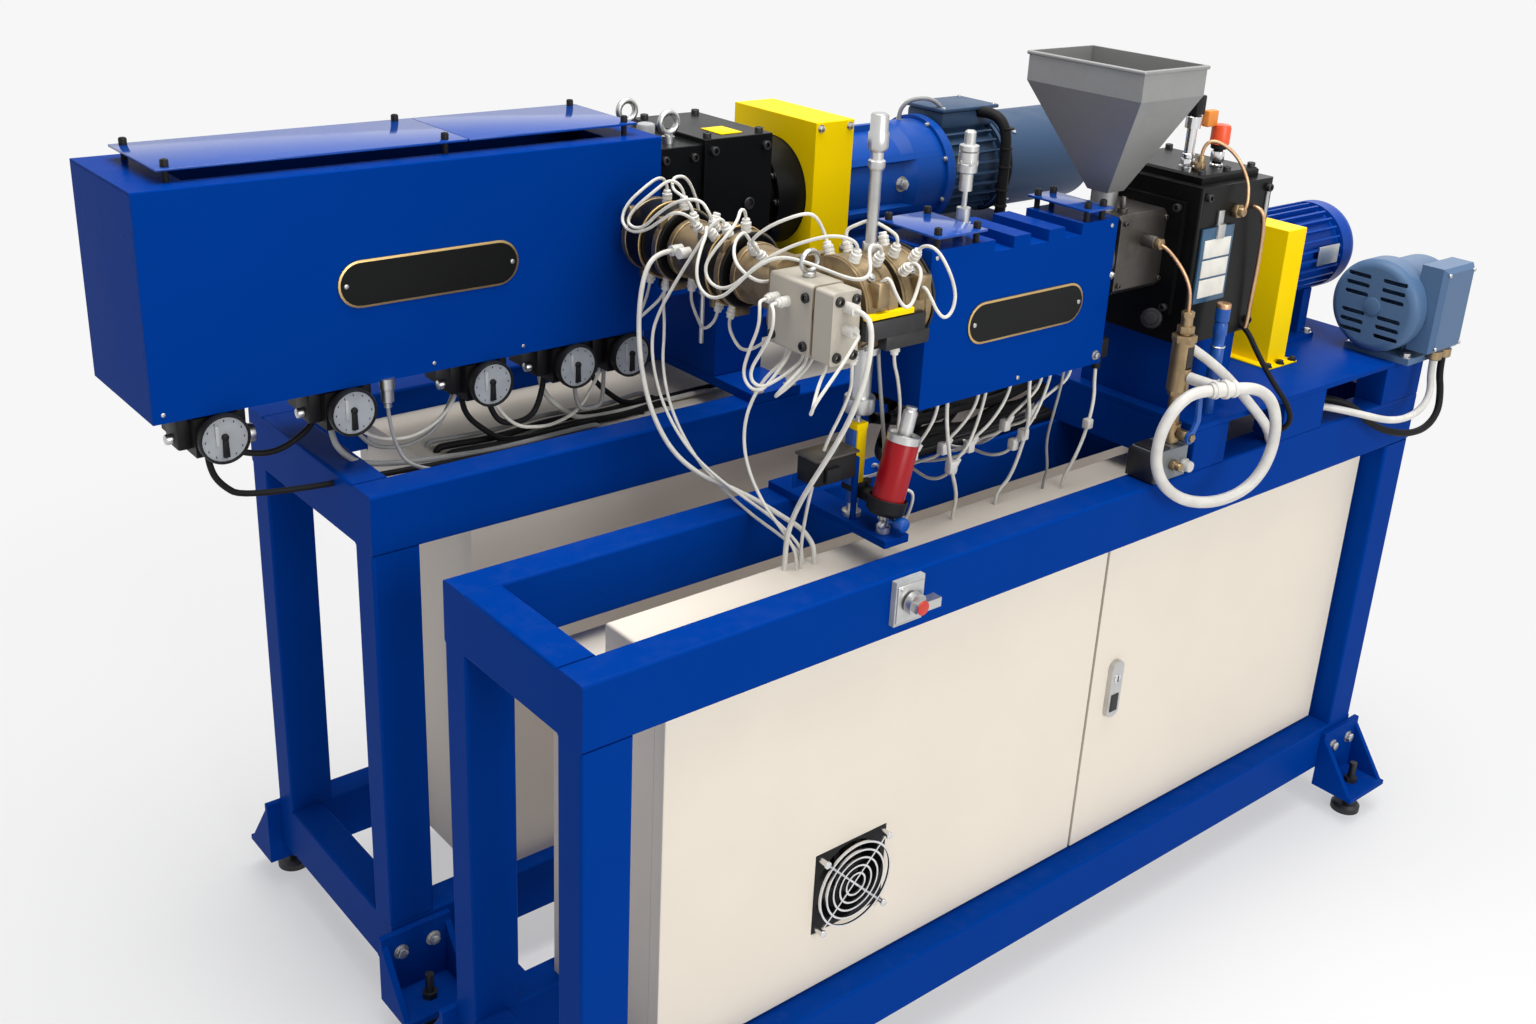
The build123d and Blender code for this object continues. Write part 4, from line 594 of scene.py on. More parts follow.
sockets.knob((-118, 600, 90), RIGHT, 10, 36).knob((-90, 600, 90), RIGHT, 12, 8)
bezels.done("dial_bezels", black_plastic)
faces.done("dial_faces", dial_face)
ticks.done("dial_ticks_and_valve_blocks", black_plastic)
strips.done("dial_strips", grey_plastic)
sockets.done("valve_sockets", steel)

# %% [markdown]
# The melt line shows how it is heated: bronze rings round the black drums, clamp straps on the bands,
# socket screws in the grey clamps, and a ribbed ceramic cap over every terminal. A cap is placed by
# its spot along the pipe and by its turn round it.

# %% Heater fittings
PIPE_X, AXIS_Z, HEAD_Y, HEAD_R = 445.0, 290.0, 143.0, 57
rings, screws, caps = Piece(), Piece(), Piece()
for y0, y1 in ((305, 365), (436, 520)):
    for y in (y0 + 3, y1 - 13):
        rings.collar((PIPE_X, y, AXIS_Z), REAR, 47, 49.4, 10, 48)
        rings.slab((PIPE_X - 42, y, AXIS_Z + 27), (PIPE_X - 30, y + 10, AXIS_Z + 42), 1.5)
        rings.slab((PIPE_X - 20, y, AXIS_Z - 58), (PIPE_X + 4, y + 10, AXIS_Z - 46), 1.5)
for y in (216, 290, 371, 421):
    rings.collar((PIPE_X, y, AXIS_Z), REAR, 36, 39, 9, 40)
for x in (440, 470, 498, 530):
    rings.collar((x, HEAD_Y, AXIS_Z), RIGHT, 56, 58.6, 10, 48)
for x in (446, 512):
    rings.slab((x, 78, 300), (x + 18, 94, 330), 2)
rings.done("heater_straps", bronze)
edges = Piece()
for y in (330, 473):
    edges.collar((PIPE_X, y, AXIS_Z), REAR, 49, 52, 3, 56)
edges.done("drum_gilt_edges", gilt)
Piece().slab((432, 79, 287), (506, 87, 294), 0.8).done("head_yellow_strip", yellow)
head_clamp_bar = Piece().slab((432, 80, 262), (528, 92, 285), 2)
head_clamp_bar.slab((470, 84, 244), (540, 100, 262), 2)
head_clamp_bar.done("head_clamp_bar", dark_steel)
Piece().collar((541, HEAD_Y, AXIS_Z), RIGHT, 50, 60.5, 3, 48).done("head_end_ring", dark_steel)
Piece().prism((PIPE_X, 525, AXIS_Z), REAR, ring(6, 34), 15, 1.2).done("pipe_union_nut", steel)
screws.rows(Piece.socket_bolt, (406, 476), (213,), (322,), REAR, 4.5)
dark_screws = Piece()
dark_screws.rows(Piece.socket_bolt, (397, 422), (92.6,), (314, 248), FRONT, 6.0)
for y, z in ((136, 308), (136, 250), (192, 250)):
    dark_screws.socket_bolt((390.6, y, z), LEFT, 6.0)
dark_screws.done("clamp_screws", dark_steel)
screws.rows(Piece.hex_bolt, (452, 516), (100,), (331,), (0, -0.7, 0.7), 4.0)
screws.rows(Piece.hex_bolt, (452, 516), (100,), (249,), (0, -0.7, -0.7), 4.0)
screws.done("heater_screws", steel)
CAP_PROFILE = [
    (0, 17), (4.0, 17), (5.0, 16), (5.0, 13), (6.6, 12), (6.6, 9.4), (5.8, 8.8), (5.8, 8.0), (6.6, 7.4),
    (6.6, 4.6), (5.8, 4.0), (5.8, 3.2), (6.6, 2.6), (6.6, 0), (0, 0),
]


def cap(centre, out, radius):
    """A cap that points out from a round piece; gives its tip and its way out."""
    base = Vector(centre) + radius * out
    caps.turned(base, out, CAP_PROFILE)
    return base + CAP_PROFILE[0][1] * out, out


def pipe_cap(y, turn, radius):
    """A cap on the melt pipe; turn counts from straight up towards the viewer's left."""
    return cap((PIPE_X, y, AXIS_Z), Vector((-sin(radians(turn)), 0, cos(radians(turn)))), radius)


def head_cap(x, turn):
    """A cap on the barrel head; turn counts from straight up towards the viewer."""
    return cap((x, HEAD_Y, AXIS_Z), Vector((0, -sin(radians(turn)), cos(radians(turn)))), HEAD_R)


DRUM_R, BAND_R = 48, 37
drum_caps = [
    pipe_cap(y, turn, DRUM_R)
    for y, turn in ((484, 0), (444, 2), (351, 26), (325, 26), (314, 4), (338, 40))
]
band_caps = [
    pipe_cap(y, turn, BAND_R)
    for y, turn in ((383, 32), (410, 14), (396, -16), (250, 40), (276, 30))
]
low_caps = [pipe_cap(y, turn, DRUM_R) for y, turn in ((503, 170), (460, 164), (352, 168), (316, 160))]
low_caps += [pipe_cap(y, turn, BAND_R) for y, turn in ((416, 172), (240, 165))]
HEAD_SPOTS = (
    (448, 18), (448, -24), (474, 28), (474, -20), (508, 20), (530, 32), (530, -18), (504, 46),
)
head_caps = [head_cap(x, turn) for x, turn in HEAD_SPOTS]
caps.rows(Piece.turned, (388,), (168, 187), (296,), LEFT, CAP_PROFILE)
caps.rows(Piece.turned, (452, 520), (120,), (238,), DOWN, CAP_PROFILE)
caps.done("ceramic_caps", ceramic)
eye = Piece().collar((412, 160, 324), UP, 3, 8, 6)
for i in range(24):
    turn = 2 * pi * i / 24
    at = (412 + 12 * cos(turn), 160, 342 + 12 * sin(turn))
    eye.turned(at, (sin(turn), 0, -cos(turn)), [(3.4, -2), (3.4, 2)], 10)
eye.done("adapter_lifting_ring", steel)
probe = Piece().knob((498, 470, 140), UP, 3.0, 96).knob((498, 470, 210), UP, 6.0, 20)
probe.done("drum_temperature_probe", steel)

# %% [markdown]
# White sleeved wires leave the caps in loose loops. Each starts straight out of its cap and ends
# straight into the next one or into the machine, and between them the points are listed one by one.

# %% Wires of the heaters
UNDER_DECK = -35


def wire(name, start, way, finish_at, diameter=4.2):
    """A lead from one cap to another: straight out of both, and through the points between.
    A short link between two caps is fixed at both ends, so only longer leads count as free cords."""
    (a, a_out), (b, b_out) = start, finish_at
    points = [a - 3 * a_out, a + 9 * a_out, *[Vector(p) for p in way], b + 9 * b_out, b - 3 * b_out]
    run = sum((q - p).length for p, q in zip(points, points[1:]))
    lead(name, points, diameter, white_sleeve)


def seat(x, y, z, out):
    return Vector((x, y, z)), Vector(out)


ROUTES = {
    "drum_wire_1": (drum_caps[0], [
        (428, 478, 376), (404, 480, 362), (386, 490, 342), (377, 490, 322), (377, 476, 312),
        (380, 458, 312), (385, 440, 320), (390, 422, 334), (398, 402, 350),
    ], band_caps[0]),
    "drum_wire_2": (drum_caps[1], [
        (424, 448, 380), (402, 456, 362), (385, 472, 340), (377, 478, 322), (379, 462, 316),
        (384, 446, 322), (388, 424, 344), (394, 392, 366), (408, 364, 372),
    ], drum_caps[2]),
    "drum_wire_3": (band_caps[1], [(424, 424, 362), (424, 446, 366), (438, 462, 378), (470, 470, 372)],
                    seat(490, 476, 306, (0.9, 0, 0.3))),
    "drum_wire_4": (drum_caps[4], [
        (420, 300, 372), (400, 280, 364), (382, 276, 350), (370, 284, 332), (362, 292, 312),
        (362, 286, 295), (364, 266, 289), (368, 248, 295), (374, 232, 310), (380, 216, 328),
        (392, 196, 346), (408, 172, 362), (430, 140, 376),
    ], head_caps[0]),
    "drum_wire_5": (drum_caps[5], [
        (382, 316, 342), (366, 306, 328), (355, 300, 306), (354, 292, 286), (356, 274, 277),
        (359, 254, 282), (363, 236, 298), (370, 220, 318), (380, 202, 336), (391, 186, 344),
        (400, 160, 344), (404, 124, 342), (402, 88, 342), (404, 66, 344), (416, 62, 350),
        (428, 80, 366), (440, 92, 374),
    ], head_caps[2]),
    "drum_wire_6": (band_caps[3], [
        (384, 236, 352), (392, 212, 374), (408, 190, 388), (424, 182, 392), (438, 182, 386),
    ], head_caps[1]),
    "drum_wire_7": (band_caps[4], [(404, 274, 352), (386, 268, 342), (376, 254, 324), (378, 232, 312)],
                    seat(396, 216, 306, LEFT)),
    "drum_wire_8": (low_caps[0], [(432, 512, 196), (412, 500, 178), (404, 480, 190)], low_caps[1]),
    "drum_wire_9": (low_caps[4], [(440, 408, 206), (432, 384, 196), (428, 366, 202)], low_caps[2]),
    "drum_wire_10": (low_caps[3], [(424, 300, 196), (420, 276, 198), (424, 254, 212)], low_caps[5]),
    "drum_wire_11": (drum_caps[3], [
        (402, 328, 352), (388, 336, 326), (377, 352, 292), (369, 368, 260), (362, 381, 231),
        (358, 392, 198), (358, 386, 151), (364, 366, 100), (376, 330, 56), (390, 286, 30),
        (400, 236, 16), (406, 190, 6), (410, 158, -8), (410, 144, -16),
    ], seat(410, 140, UNDER_DECK, UP)),
    "adapter_wire_1": (seat(371, 187, 296, LEFT), [
        (357, 180, 290), (354, 176, 268), (350, 188, 236), (346, 193, 208), (348, 182, 193),
        (354, 168, 192), (366, 166, 202), (384, 170, 214),
    ], seat(400, 172, 238, DOWN)),
    "adapter_wire_2": (seat(371, 168, 296, LEFT), [
        (358, 156, 294), (356, 154, 268), (352, 168, 240), (348, 181, 216), (350, 180, 200),
        (357, 168, 196), (370, 158, 206), (388, 154, 216),
    ], seat(404, 152, 238, DOWN)),
    "adapter_wire_3": (seat(409, 74, 280, FRONT), [
        (396, 58, 276), (378, 56, 256), (356, 55, 234), (340, 57, 214), (338, 62, 200), (348, 70, 198),
        (364, 84, 208), (384, 100, 218),
    ], seat(402, 110, 238, DOWN)),
    "adapter_wire_4": (seat(410, 190, 238, DOWN), [
        (404, 188, 214), (376, 192, 194), (356, 198, 150), (352, 190, 100), (362, 166, 50),
        (380, 142, 14), (390, 132, -8),
    ], seat(392, 130, UNDER_DECK, UP)),
    "adapter_wire_5": (seat(398, 140, 238, DOWN), [
        (388, 138, 222), (368, 142, 204), (362, 150, 190), (370, 158, 186), (386, 152, 198),
    ], seat(410, 140, 238, DOWN)),
    "head_wire_1": (head_caps[3], [(480, 160, 376), (492, 148, 384), (502, 130, 376)], head_caps[4]),
    "head_wire_2": (head_caps[7], [
        (496, 62, 342), (486, 58, 322), (478, 57, 306), (468, 58, 304), (460, 64, 318), (458, 76, 338),
    ], seat(456, 92, 324, (0, -0.8, 0.6))),
    "head_wire_3": (head_caps[5], [
        (534, 78, 360), (544, 64, 334), (551, 58, 308), (548, 58, 288), (536, 58, 280), (524, 60, 290),
        (518, 66, 306),
    ], seat(516, 84, 316, (0, -0.9, 0.3))),
    "head_wire_5": (seat(452, 120, 221, DOWN), [
        (446, 112, 196), (430, 108, 170), (414, 116, 130), (404, 126, 70), (400, 132, 10),
    ], seat(400, 132, UNDER_DECK, UP)),
    "head_wire_6": (seat(520, 120, 221, DOWN), [
        (526, 116, 190), (540, 120, 140), (536, 128, 70), (528, 132, 10),
    ], seat(528, 132, UNDER_DECK, UP)),
    "drum_wire_12": (low_caps[1], [
        (420, 448, 180), (396, 420, 140), (384, 380, 90), (386, 330, 44), (396, 280, 14),
        (404, 230, -4), (410, 180, -14), (410, 150, -20),
    ], seat(410, 140, UNDER_DECK, UP)),
}
for name, (start, way, finish_at) in ROUTES.items():
    wire(name, start, way, finish_at)
print("heater wires ready")

# %% [markdown]
# The rear drive train is bolted together: socket screws at the corners of the gearbox halves, hex bolts
# round the bell, a sight glass and a junction box on the motor. Round the motor's end runs a black ring
# that is painted shadow, the dark line under the edge of the cowl.

# %% Fittings of the rear drive
REAR_Y = 645
bolts = Piece()
bolts.rows(Piece.socket_bolt, (497, 546), (563,), (213, 373), FRONT, 6.0)
bolts.rows(Piece.socket_bolt, (574, 666), (555,), (213, 381), FRONT, 6.5)
bolts.rows(Piece.socket_bolt, (574, 666), (570, 720), (397,), UP, 6.0)
for y, z in ring(12, 74):
    bolts.hex_bolt((706, REAR_Y + y, AXIS_Z + z), LEFT, 4.6)
bolts.done("rear_gearbox_bolts", dark_steel)
light_bolts = Piece()
light_bolts.rows(Piece.hex_bolt, (766, 822), (550,), (212, 396), FRONT, 4.5)
light_bolts.rows(Piece.hex_bolt, (604, 664, 912, 976, 1192, 1256), (472,), (47,), UP, 7.0)
light_bolts.rows(Piece.hex_bolt, (500, 620, 740, 860, 1150, 1250), (562,), (197,), UP, 6.0)
for i in range(8):
    turn = 2 * pi * (i + 0.5) / 8
    at = (1048, REAR_Y + 84.5 * cos(turn), AXIS_Z + 84.5 * sin(turn))
    light_bolts.hex_bolt(at, LEFT, 3.4)
light_bolts.hex_bolt((960, 573, AXIS_Z), FRONT, 9.0)
for i in range(4):
    turn = pi / 4 + pi * i / 2
    at = (1226, REAR_Y + 80 * cos(turn), AXIS_Z + 80 * sin(turn))
    light_bolts.knob(at, (0, cos(turn), sin(turn)), 4.0, 2.4)
light_bolts.done("rear_drive_bolts", steel)
Piece().collar((640, 555, 300), FRONT, 6, 9, 4).done("gearbox_sight_ring", dark_steel)
Piece().knob((640, 555, 300), FRONT, 6.5, 2).done("gearbox_sight_glass", feed_steel)
Piece().knob((520, 640, 389), UP, 13, 20).done("gearbox_filler_cap", grey_plastic)
Piece().slab((602, 575, 396.8), (640, 622, 398.2), 0.4).done("gearbox_top_patch", yellow)
# The black ring is painted shadow, the dark line under the cowl's edge; the knobs on the conduit are
# its ties.
shadow_ring_and_ties = Piece().collar((1199, REAR_Y, AXIS_Z), RIGHT, 79, 83, 5, 48)
shadow_ring_and_ties.rows(Piece.knob, (1168,), (549,), (236, 262, 300, 330, 362), UP, 10.6, 3)
shadow_ring_and_ties.done("rear_motor_shadow_ring_and_ties", black_rubber)
CONDUIT = [
    (1158, 612, 380), (1158, 592, 384), (1162, 566, 380), (1166, 552, 362), (1168, 549, 330),
    (1168, 549, 262), (1170, 550, 228), (1172, 556, 206), (1172, 562, 196), (1172, 566, 184),
]
lead("rear_motor_conduit", CONDUIT, 18, black_rubber)
lead("rear_motor_wire", [
    (1020, 650, 372), (1020, 650, 388), (1030, 640, 404), (1052, 628, 408), (1072, 622, 402),
    (1084, 622, 392),
], 7, grey_rubber)
junction = Piece().slab((1072, 604, 358), (1194, 686, 386), 6)
junction.slab((1068, 600, 386), (1198, 690, 392), 2).done("rear_motor_junction_box", grey_blue)
lid_bolts = Piece().rows(Piece.knob, (1076, 1190), (607, 683), (392,), UP, 3.2, 2.2)
lid_bolts.done("junction_box_screws", steel)

# %% [markdown]
# The front gearbox carries its fittings on top and in front: a steel breather pipe, a red filler cap,
# an orange block and brass ports. Bolts show at the corners, and lugs round the flange of the feed.

# %% Fittings of the front drive
breather = Piece().turned((1038, 110, 397), UP, [
    (11, 0), (11, 4), (5, 5), (5, 14), (8.5, 15), (8.5, 20), (6.8, 21), (6.8, 54), (10.5, 55),
    (10.5, 70), (8, 73), (0, 73),
])
breather.prism((1038, 110, 402), UP, ring(6, 9.5), 9, 0.8).collar((1090, 100, 397), UP, 6, 9, 4)
breather.prism((1090, 100, 404), UP, ring(6, 9.5), 14, 0.8).done("lid_fittings", chrome)
filler_collar = Piece().collar((1090, 100, 421), UP, 6, 11, 7)
filler_collar.slab((1028, 100, 470), (1048, 120, 496), 2)
filler_collar.done("filler_collar", black_plastic)
Piece().knob((1090, 100, 428), UP, 13.2, 26).done("filler_cap", orange_red)
Piece().slab((1058, 100, 452), (1080, 112, 474), 2.5).done("orange_plug", orange_plastic)
Piece().knob((1046, 110, 455), (1, -0.15, 0.15), 1.6, 14).done("orange_plug_stalk", steel)
front_bolts = Piece()
front_bolts.rows(Piece.socket_bolt, (1022, 1078, 1134), (74, 212), (397,), UP, 5.5)
front_bolts.rows(Piece.socket_bolt, (990,), (80, 206), (217, 355), LEFT, 5.5)
front_bolts.rows(Piece.socket_bolt, (1010, 1146), (50,), (182, 372), FRONT, 5.5)
front_bolts.rows(Piece.hex_bolt, (1292, 1324, 1356), (92,), (71,), UP, 5.0)
front_bolts.done("front_gearbox_bolts", dark_steel)
pale_bolts = Piece()
pale_bolts.rows(Piece.hex_bolt, (1382, 1490), (154, 256), (76,), UP, 6.0)
pale_bolts.rows(Piece.hex_bolt, (1507, 1580), (-11, 79), (78,), UP, 6.5)
pale_bolts.rows(Piece.knob, (1519, 1591), (-48,), (99, 216), FRONT, 3.2, 2.2)
pale_bolts.done("front_drive_bolts", steel)
ports = Piece()
ports.prism((1075, 50, 348), FRONT, ring(6, 10), 9, 0.8).knob((1075, 42, 348), FRONT, 6.5, 8)
ports.prism((1042, 92, 397), UP, ring(6, 8), 12, 0.8).knob((1042, 92, 409), UP, 5.5, 9)
ports.collar((1556, -31, 73), UP, 8, 11.5, 14).collar((1584, -31, 73), UP, 8, 11.5, 14)
ports.prism((947, 76, 313), FRONT, ring(6, 8), 9, 0.8)
ports.done("brass_ports", brass)
feed = Piece().knob((947, 95, 313), FRONT, 9, 20).turned((918, 116, 350), UP, [
    (7, 0), (7, 5), (4, 6), (5, 12), (3, 20), (0, 20),
])
feed.rows(Piece.socket_bolt, (901, 985), (95,), (256, 340), FRONT, 3.6)
feed.collar((886, HEAD_Y, AXIS_Z), RIGHT, 33, 46, 7, 40).done("feed_block_fittings", feed_steel)
lugs = Piece()
for turn in (200, 235, 320):
    a = radians(turn)
    lugs.knob((884, HEAD_Y + 40 * cos(a), AXIS_Z + 40 * sin(a)), (0.2, cos(a), sin(a)), 5, 14)
lugs.done("feed_flange_lugs", steel)
Piece().knob((1479.2, 45, 150), LEFT, 14, 2.4).done("fan_cover_hub", pale_blue)

# %% [markdown]
# On the gearbox's front hang blank cards in a pouch. Beside them stands a blue filter, and bent copper
# tubes join the brass ports.

# %% Cards, filter and copper tubes
slips = Piece()
for low, high in ((289, 314), (262, 286), (234, 259)):
    slips.slab((1012, 45.2, low), (1070, 46.6, high), 0.3)
slips.done("blank_card_slips", white_sleeve)
Piece().slab((1006, 46.4, 226), (1076, 50.2, 330), 1).done("card_pouch", pouch_blue)
card_clip = Piece().slab((1034, 42, 314), (1050, 50.2, 334), 1.5)
card_clip.slab((1036, 46, 330), (1048, 50.4, 352), 1)
card_clip.done("card_clip", steel)
Piece().slab((1144, 47.8, 322), (1150, 50, 376), 0.5).done("gearbox_level_strip", grey_plastic)
Piece().slab((1452, 133.4, 196), (1508, 136, 226), 0.6).done("motor_plate", steel)
FILTER_X, FILTER_Y = 1052, 28
filter_body = Piece().turned((FILTER_X, FILTER_Y, 68), UP, [
    (0, 0), (8, 0), (8, 50), (9.5, 52), (9.5, 96), (8.2, 98), (8.2, 112), (9.5, 114), (9.5, 128),
    (8, 132), (10, 134), (10, 152), (0, 152),
])
filter_body.done("filter_body", blue_plastic)
filter_bands = Piece().collar((FILTER_X, FILTER_Y, 116), UP, 8, 10.6, 3)
filter_bands.collar((FILTER_X, FILTER_Y, 164), UP, 8, 10.4, 2.4).done("filter_bands", chrome)
Piece().knob((FILTER_X, FILTER_Y, 220), UP, 10, 7).done("filter_top", copper)
lead("copper_tube_top", [
    (1042, 92, 412), (1042, 92, 432), (1052, 80, 440), (1070, 58, 424), (1080, 40, 392),
    (1078, 34, 366), (1075, 34, 352), (1075, 38, 348),
], 5, copper)
lead("copper_tube_feed", [
    (947, 84, 313), (947, 70, 313), (951, 56, 306), (958, 36, 284), (964, 26, 262), (966, 24, 240),
    (966, 24, 226),
], 5, copper)
lead("level_tube", [
    (1119, 52, 348), (1119, 38, 348), (1126, 34, 330), (1134, 38, 270), (1136, 42, 210),
    (1136, 42, 184), (1136, 44, 172),
], 6, copper)
lead("drain_cable", [
    (1136, 52, 176), (1136, 40, 172), (1146, 24, 140), (1164, 2, 98), (1186, -14, 66),
    (1200, -16, 38), (1200, -4, 20), (1194, 14, 12), (1192, 18, -2),
], 8, black_rubber)

# %% [markdown]
# The water side stands on the front rail: a brass strainer with a window, a ball valve, a steel
# manifold with its fittings, a dark hand valve behind, and a straight hose that ends under the deck.

# %% Fittings of the water side
nuts = Piece()
for z, radius, tall in ((46, 12, 8), (112, 13, 8), (188, 17, 10), (200, 12, 10), (222, 9, 8)):
    nuts.prism((966, 24, z), UP, ring(6, radius), tall, 0.8)
nuts.prism((966, 10, 60), FRONT, ring(6, 8), 14, 0.8)
nuts.prism((966, -10, 60), FRONT, ring(6, 6), 3, 0.5)
nuts.prism((948, 2, 22), FRONT, ring(6, 8), 8, 0.8).knob((948, -6, 22), FRONT, 6, 8)
nuts.done("strainer_nuts", brass)
Piece().slab((960, 10.5, 154), (972, 16, 184)).done("strainer_window", dark_steel)
manifold_plates = Piece().slab((908, 1, 2), (916, 47, 42), 1).slab((915, 5, 44), (945, 43, 47), 1)
manifold_plates.done("manifold_plates", dark_steel)
manifold_plug = Piece().knob((974, 2, 16), FRONT, 8, 14).prism((974, 3, 16), FRONT, ring(6, 10), 6, 0.8)
manifold_plug.done("manifold_plug", white_hose)
VALVE_WAY, TEE_WAY = (-0.8, -0.5, 0.3), (0.94, -0.34, 0)
hand_valve = Piece().knob((940, 62, 214), VALVE_WAY, 14, 12).knob((934, 58, 216), VALVE_WAY, 9, 26)
hand_valve.knob((955, 70, 206), VALVE_WAY, 7, 24).done("hand_valve", black_plastic)
cover_plug = Piece().slab((884, 96, 156), (902, 118, 184), 3).knob((893, 107, 140), UP, 6, 18)
cover_plug.done("cover_plug", black_plastic)
tee_rings = Piece().collar((969, -44, 140), TEE_WAY, 8, 13, 7)
tee_rings.collar((955, -39, 140), TEE_WAY, 8, 12, 5).collar((981, -49, 140), TEE_WAY, 8, 12, 5)
tee_rings.done("tee_rings", white_hose)
lead("straight_hose", [
    (968, 28, 186), (982, 20, 176), (1000, 8, 162), (1030, -6, 137), (1074, -11, 100),
    (1120, -12, 62), (1148, -9, 39), (1168, -3, 22), (1182, 3, 10), (1189, 6, 3), (1192, 8, -3),
], 14, white_hose)

# %% [markdown]
# Under the front cover hang the white leads of its heaters, each with a small connector. Black cables
# lie on the rail and hang behind the leads; they are partly cables and partly painted shade, a dark
# mass put where the space under the cover lies in shade. They sway a little from one to the next.

# %% Leads under the front cover
lead("plug_lead", [
    (893, 107, 142), (893, 107, 126), (890, 100, 96), (876, 96, 54), (866, 102, 14),
    (864, 112, -10), (864, 116, -22), (864, 116, -36),
], 5, white_sleeve)
lead("cover_lead_1", [
    (600, 101, 158), (600, 101, 136), (606, 100, 100), (628, 110, 52), (652, 118, 10),
    (660, 126, -14), (660, 128, -24), (660, 128, -36),
], 5, white_sleeve)
lead("cover_lead_2", [
    (752, 101, 158), (752, 101, 134), (762, 102, 96), (770, 116, 50), (758, 120, 6),
    (746, 128, -14), (744, 130, -24), (744, 130, -36),
], 5, white_sleeve)
lead("cover_lead_3", [
    (820, 102, 158), (820, 102, 136), (812, 104, 92), (820, 118, 44), (836, 122, 0),
    (840, 128, -16), (840, 130, -24), (840, 130, -36),
], 4, grey_rubber)
joints = Piece()
for i, (x, lean, drop) in enumerate((
    (584, -12, 78), (657, -30, 74), (670, -24, 42), (716, -40, 66), (776, -34, 82), (793, -30, 50),
    (834, -42, 88),
)):
    lead(f"zone_lead_{i + 1}", [
        (x, 101, 158), (x, 102, 138), (x + 0.5 * lean, 110, drop + 34), (x + lean + 2, 122, drop + 12),
        (x + lean - 2, 130, drop - 12), (x + 1.3 * lean, 156, drop - 26), (x + 1.2 * lean, 196, 22),
        (x + lean, 230, 10), (x + lean + 6, 252, 6), (x + lean + 8, 258, 2), (x + lean + 8, 260, -8),
    ], 4.4, white_sleeve)
    joints.slab((x + lean - 6, 120, drop - 8), (x + lean + 6, 132, drop + 8), 2.5)
    joints.knob((x + lean + 9, 127, drop + 2), (0.6, 0, 0.8), 3.4, 10)
# Partly painted shade: black cables on the rail that darken the shaded space behind the leads.
for i, y in enumerate((248, 258, 268)):
    lead(f"rail_shade_cable_{i + 1}", [
        (600 + 70 * i, 180, 160), (600 + 70 * i, 184, 140), (606 + 70 * i, 212, 80),
        (622 + 70 * i, y - 6, 24), (656 + 70 * i, y, 6), (720 + 70 * i, y, 5.5),
        (860 + 20 * i, y - 2, 5.5), (930, y, 5.5), (972, y, 6), (986, y, 8), (997, y, 9),
    ], 10, black_rubber)
# Painted shade in part: thick black cables that hang in the shaded space under the cover and darken it.
HANGING_SHADE_CABLES = ((168, 132), (176, 112), (184, 92), (176, 72), (192, 56), (204, 120), (210, 84))
for i, (y, z) in enumerate(HANGING_SHADE_CABLES):
    sway = 7 * (-1) ** i
    lead(f"hanging_shade_cable_{i + 1}", [
        (580, y, z + 14), (604, y, z + sway), (660, y + 6, z - sway), (720, y - 4, z + sway),
        (780, y + 5, z - sway), (830, y, z + 4), (872, y + 6, z + 12), (884, y + 8, z + 18),
    ], 15, black_rubber)
joints.slab((622, 105, 46), (636, 116, 62), 2).slab((763, 111, 58), (776, 122, 74), 2)
joints.slab((872, 91, 58), (884, 102, 72), 2)
joints.done("lead_connectors", white_hose)

# %% [markdown]
# Under the barrel head the support strut has a yellow and a blue side, and beside it sits a small
# solenoid valve on a blue strip.

# %% Strut and solenoid under the barrel head
STRUT_X = 490
strut = Piece().turned((STRUT_X, HEAD_Y, 10), UP, [
    (0, 0), (12, 0), (12, 6), (7, 7), (7, 18), (6, 18), (6, 126), (3.2, 126), (3.2, 138), (18, 138),
    (19, 140), (19, 157), (18, 158), (13, 158), (13, 214), (20, 214), (20, 222.4), (0, 222.4),
], 32)
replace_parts(strut.done("barrel_strut", steel), "barrel_support")
block = Piece().slab((483, 134, 55), (498, 152, 130), 1).slab((480, 133, 126), (499, 153, 135), 1.5)
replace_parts(block.done("strut_yellow_side", yellow), "barrel_support")
side = Piece().slab((479, 136, 52), (483.2, 152, 126), 0.6).knob((STRUT_X, HEAD_Y, 28), UP, 8, 18)
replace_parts(side.done("strut_blue_side", blue_plastic), "barrel_support")
strut_socket = Piece().slab((479, 132, 45), (500, 154, 55.5), 2).slab((498, 136, 48), (516, 146, 54), 1)
strut_socket.done("strut_socket", black_plastic)
valve = Piece().slab((386, 98, 86), (450, 134, 118), 3).slab((398, 92, 90), (420, 99, 108), 1)
valve.done("solenoid_base", black_plastic)
Piece().slab((384, 96, 118), (452, 136, 121.5), 1).done("solenoid_lid", feed_steel)
strip = Piece().slab((380, 130, 76), (484, 134, 94), 1).slab((478, 128, 9), (484, 134, 94), 1)
strip.done("solenoid_strip", frame_blue)

# %% [markdown]
# The red can leans in its cup, so its parts are turned round one leaning axis.

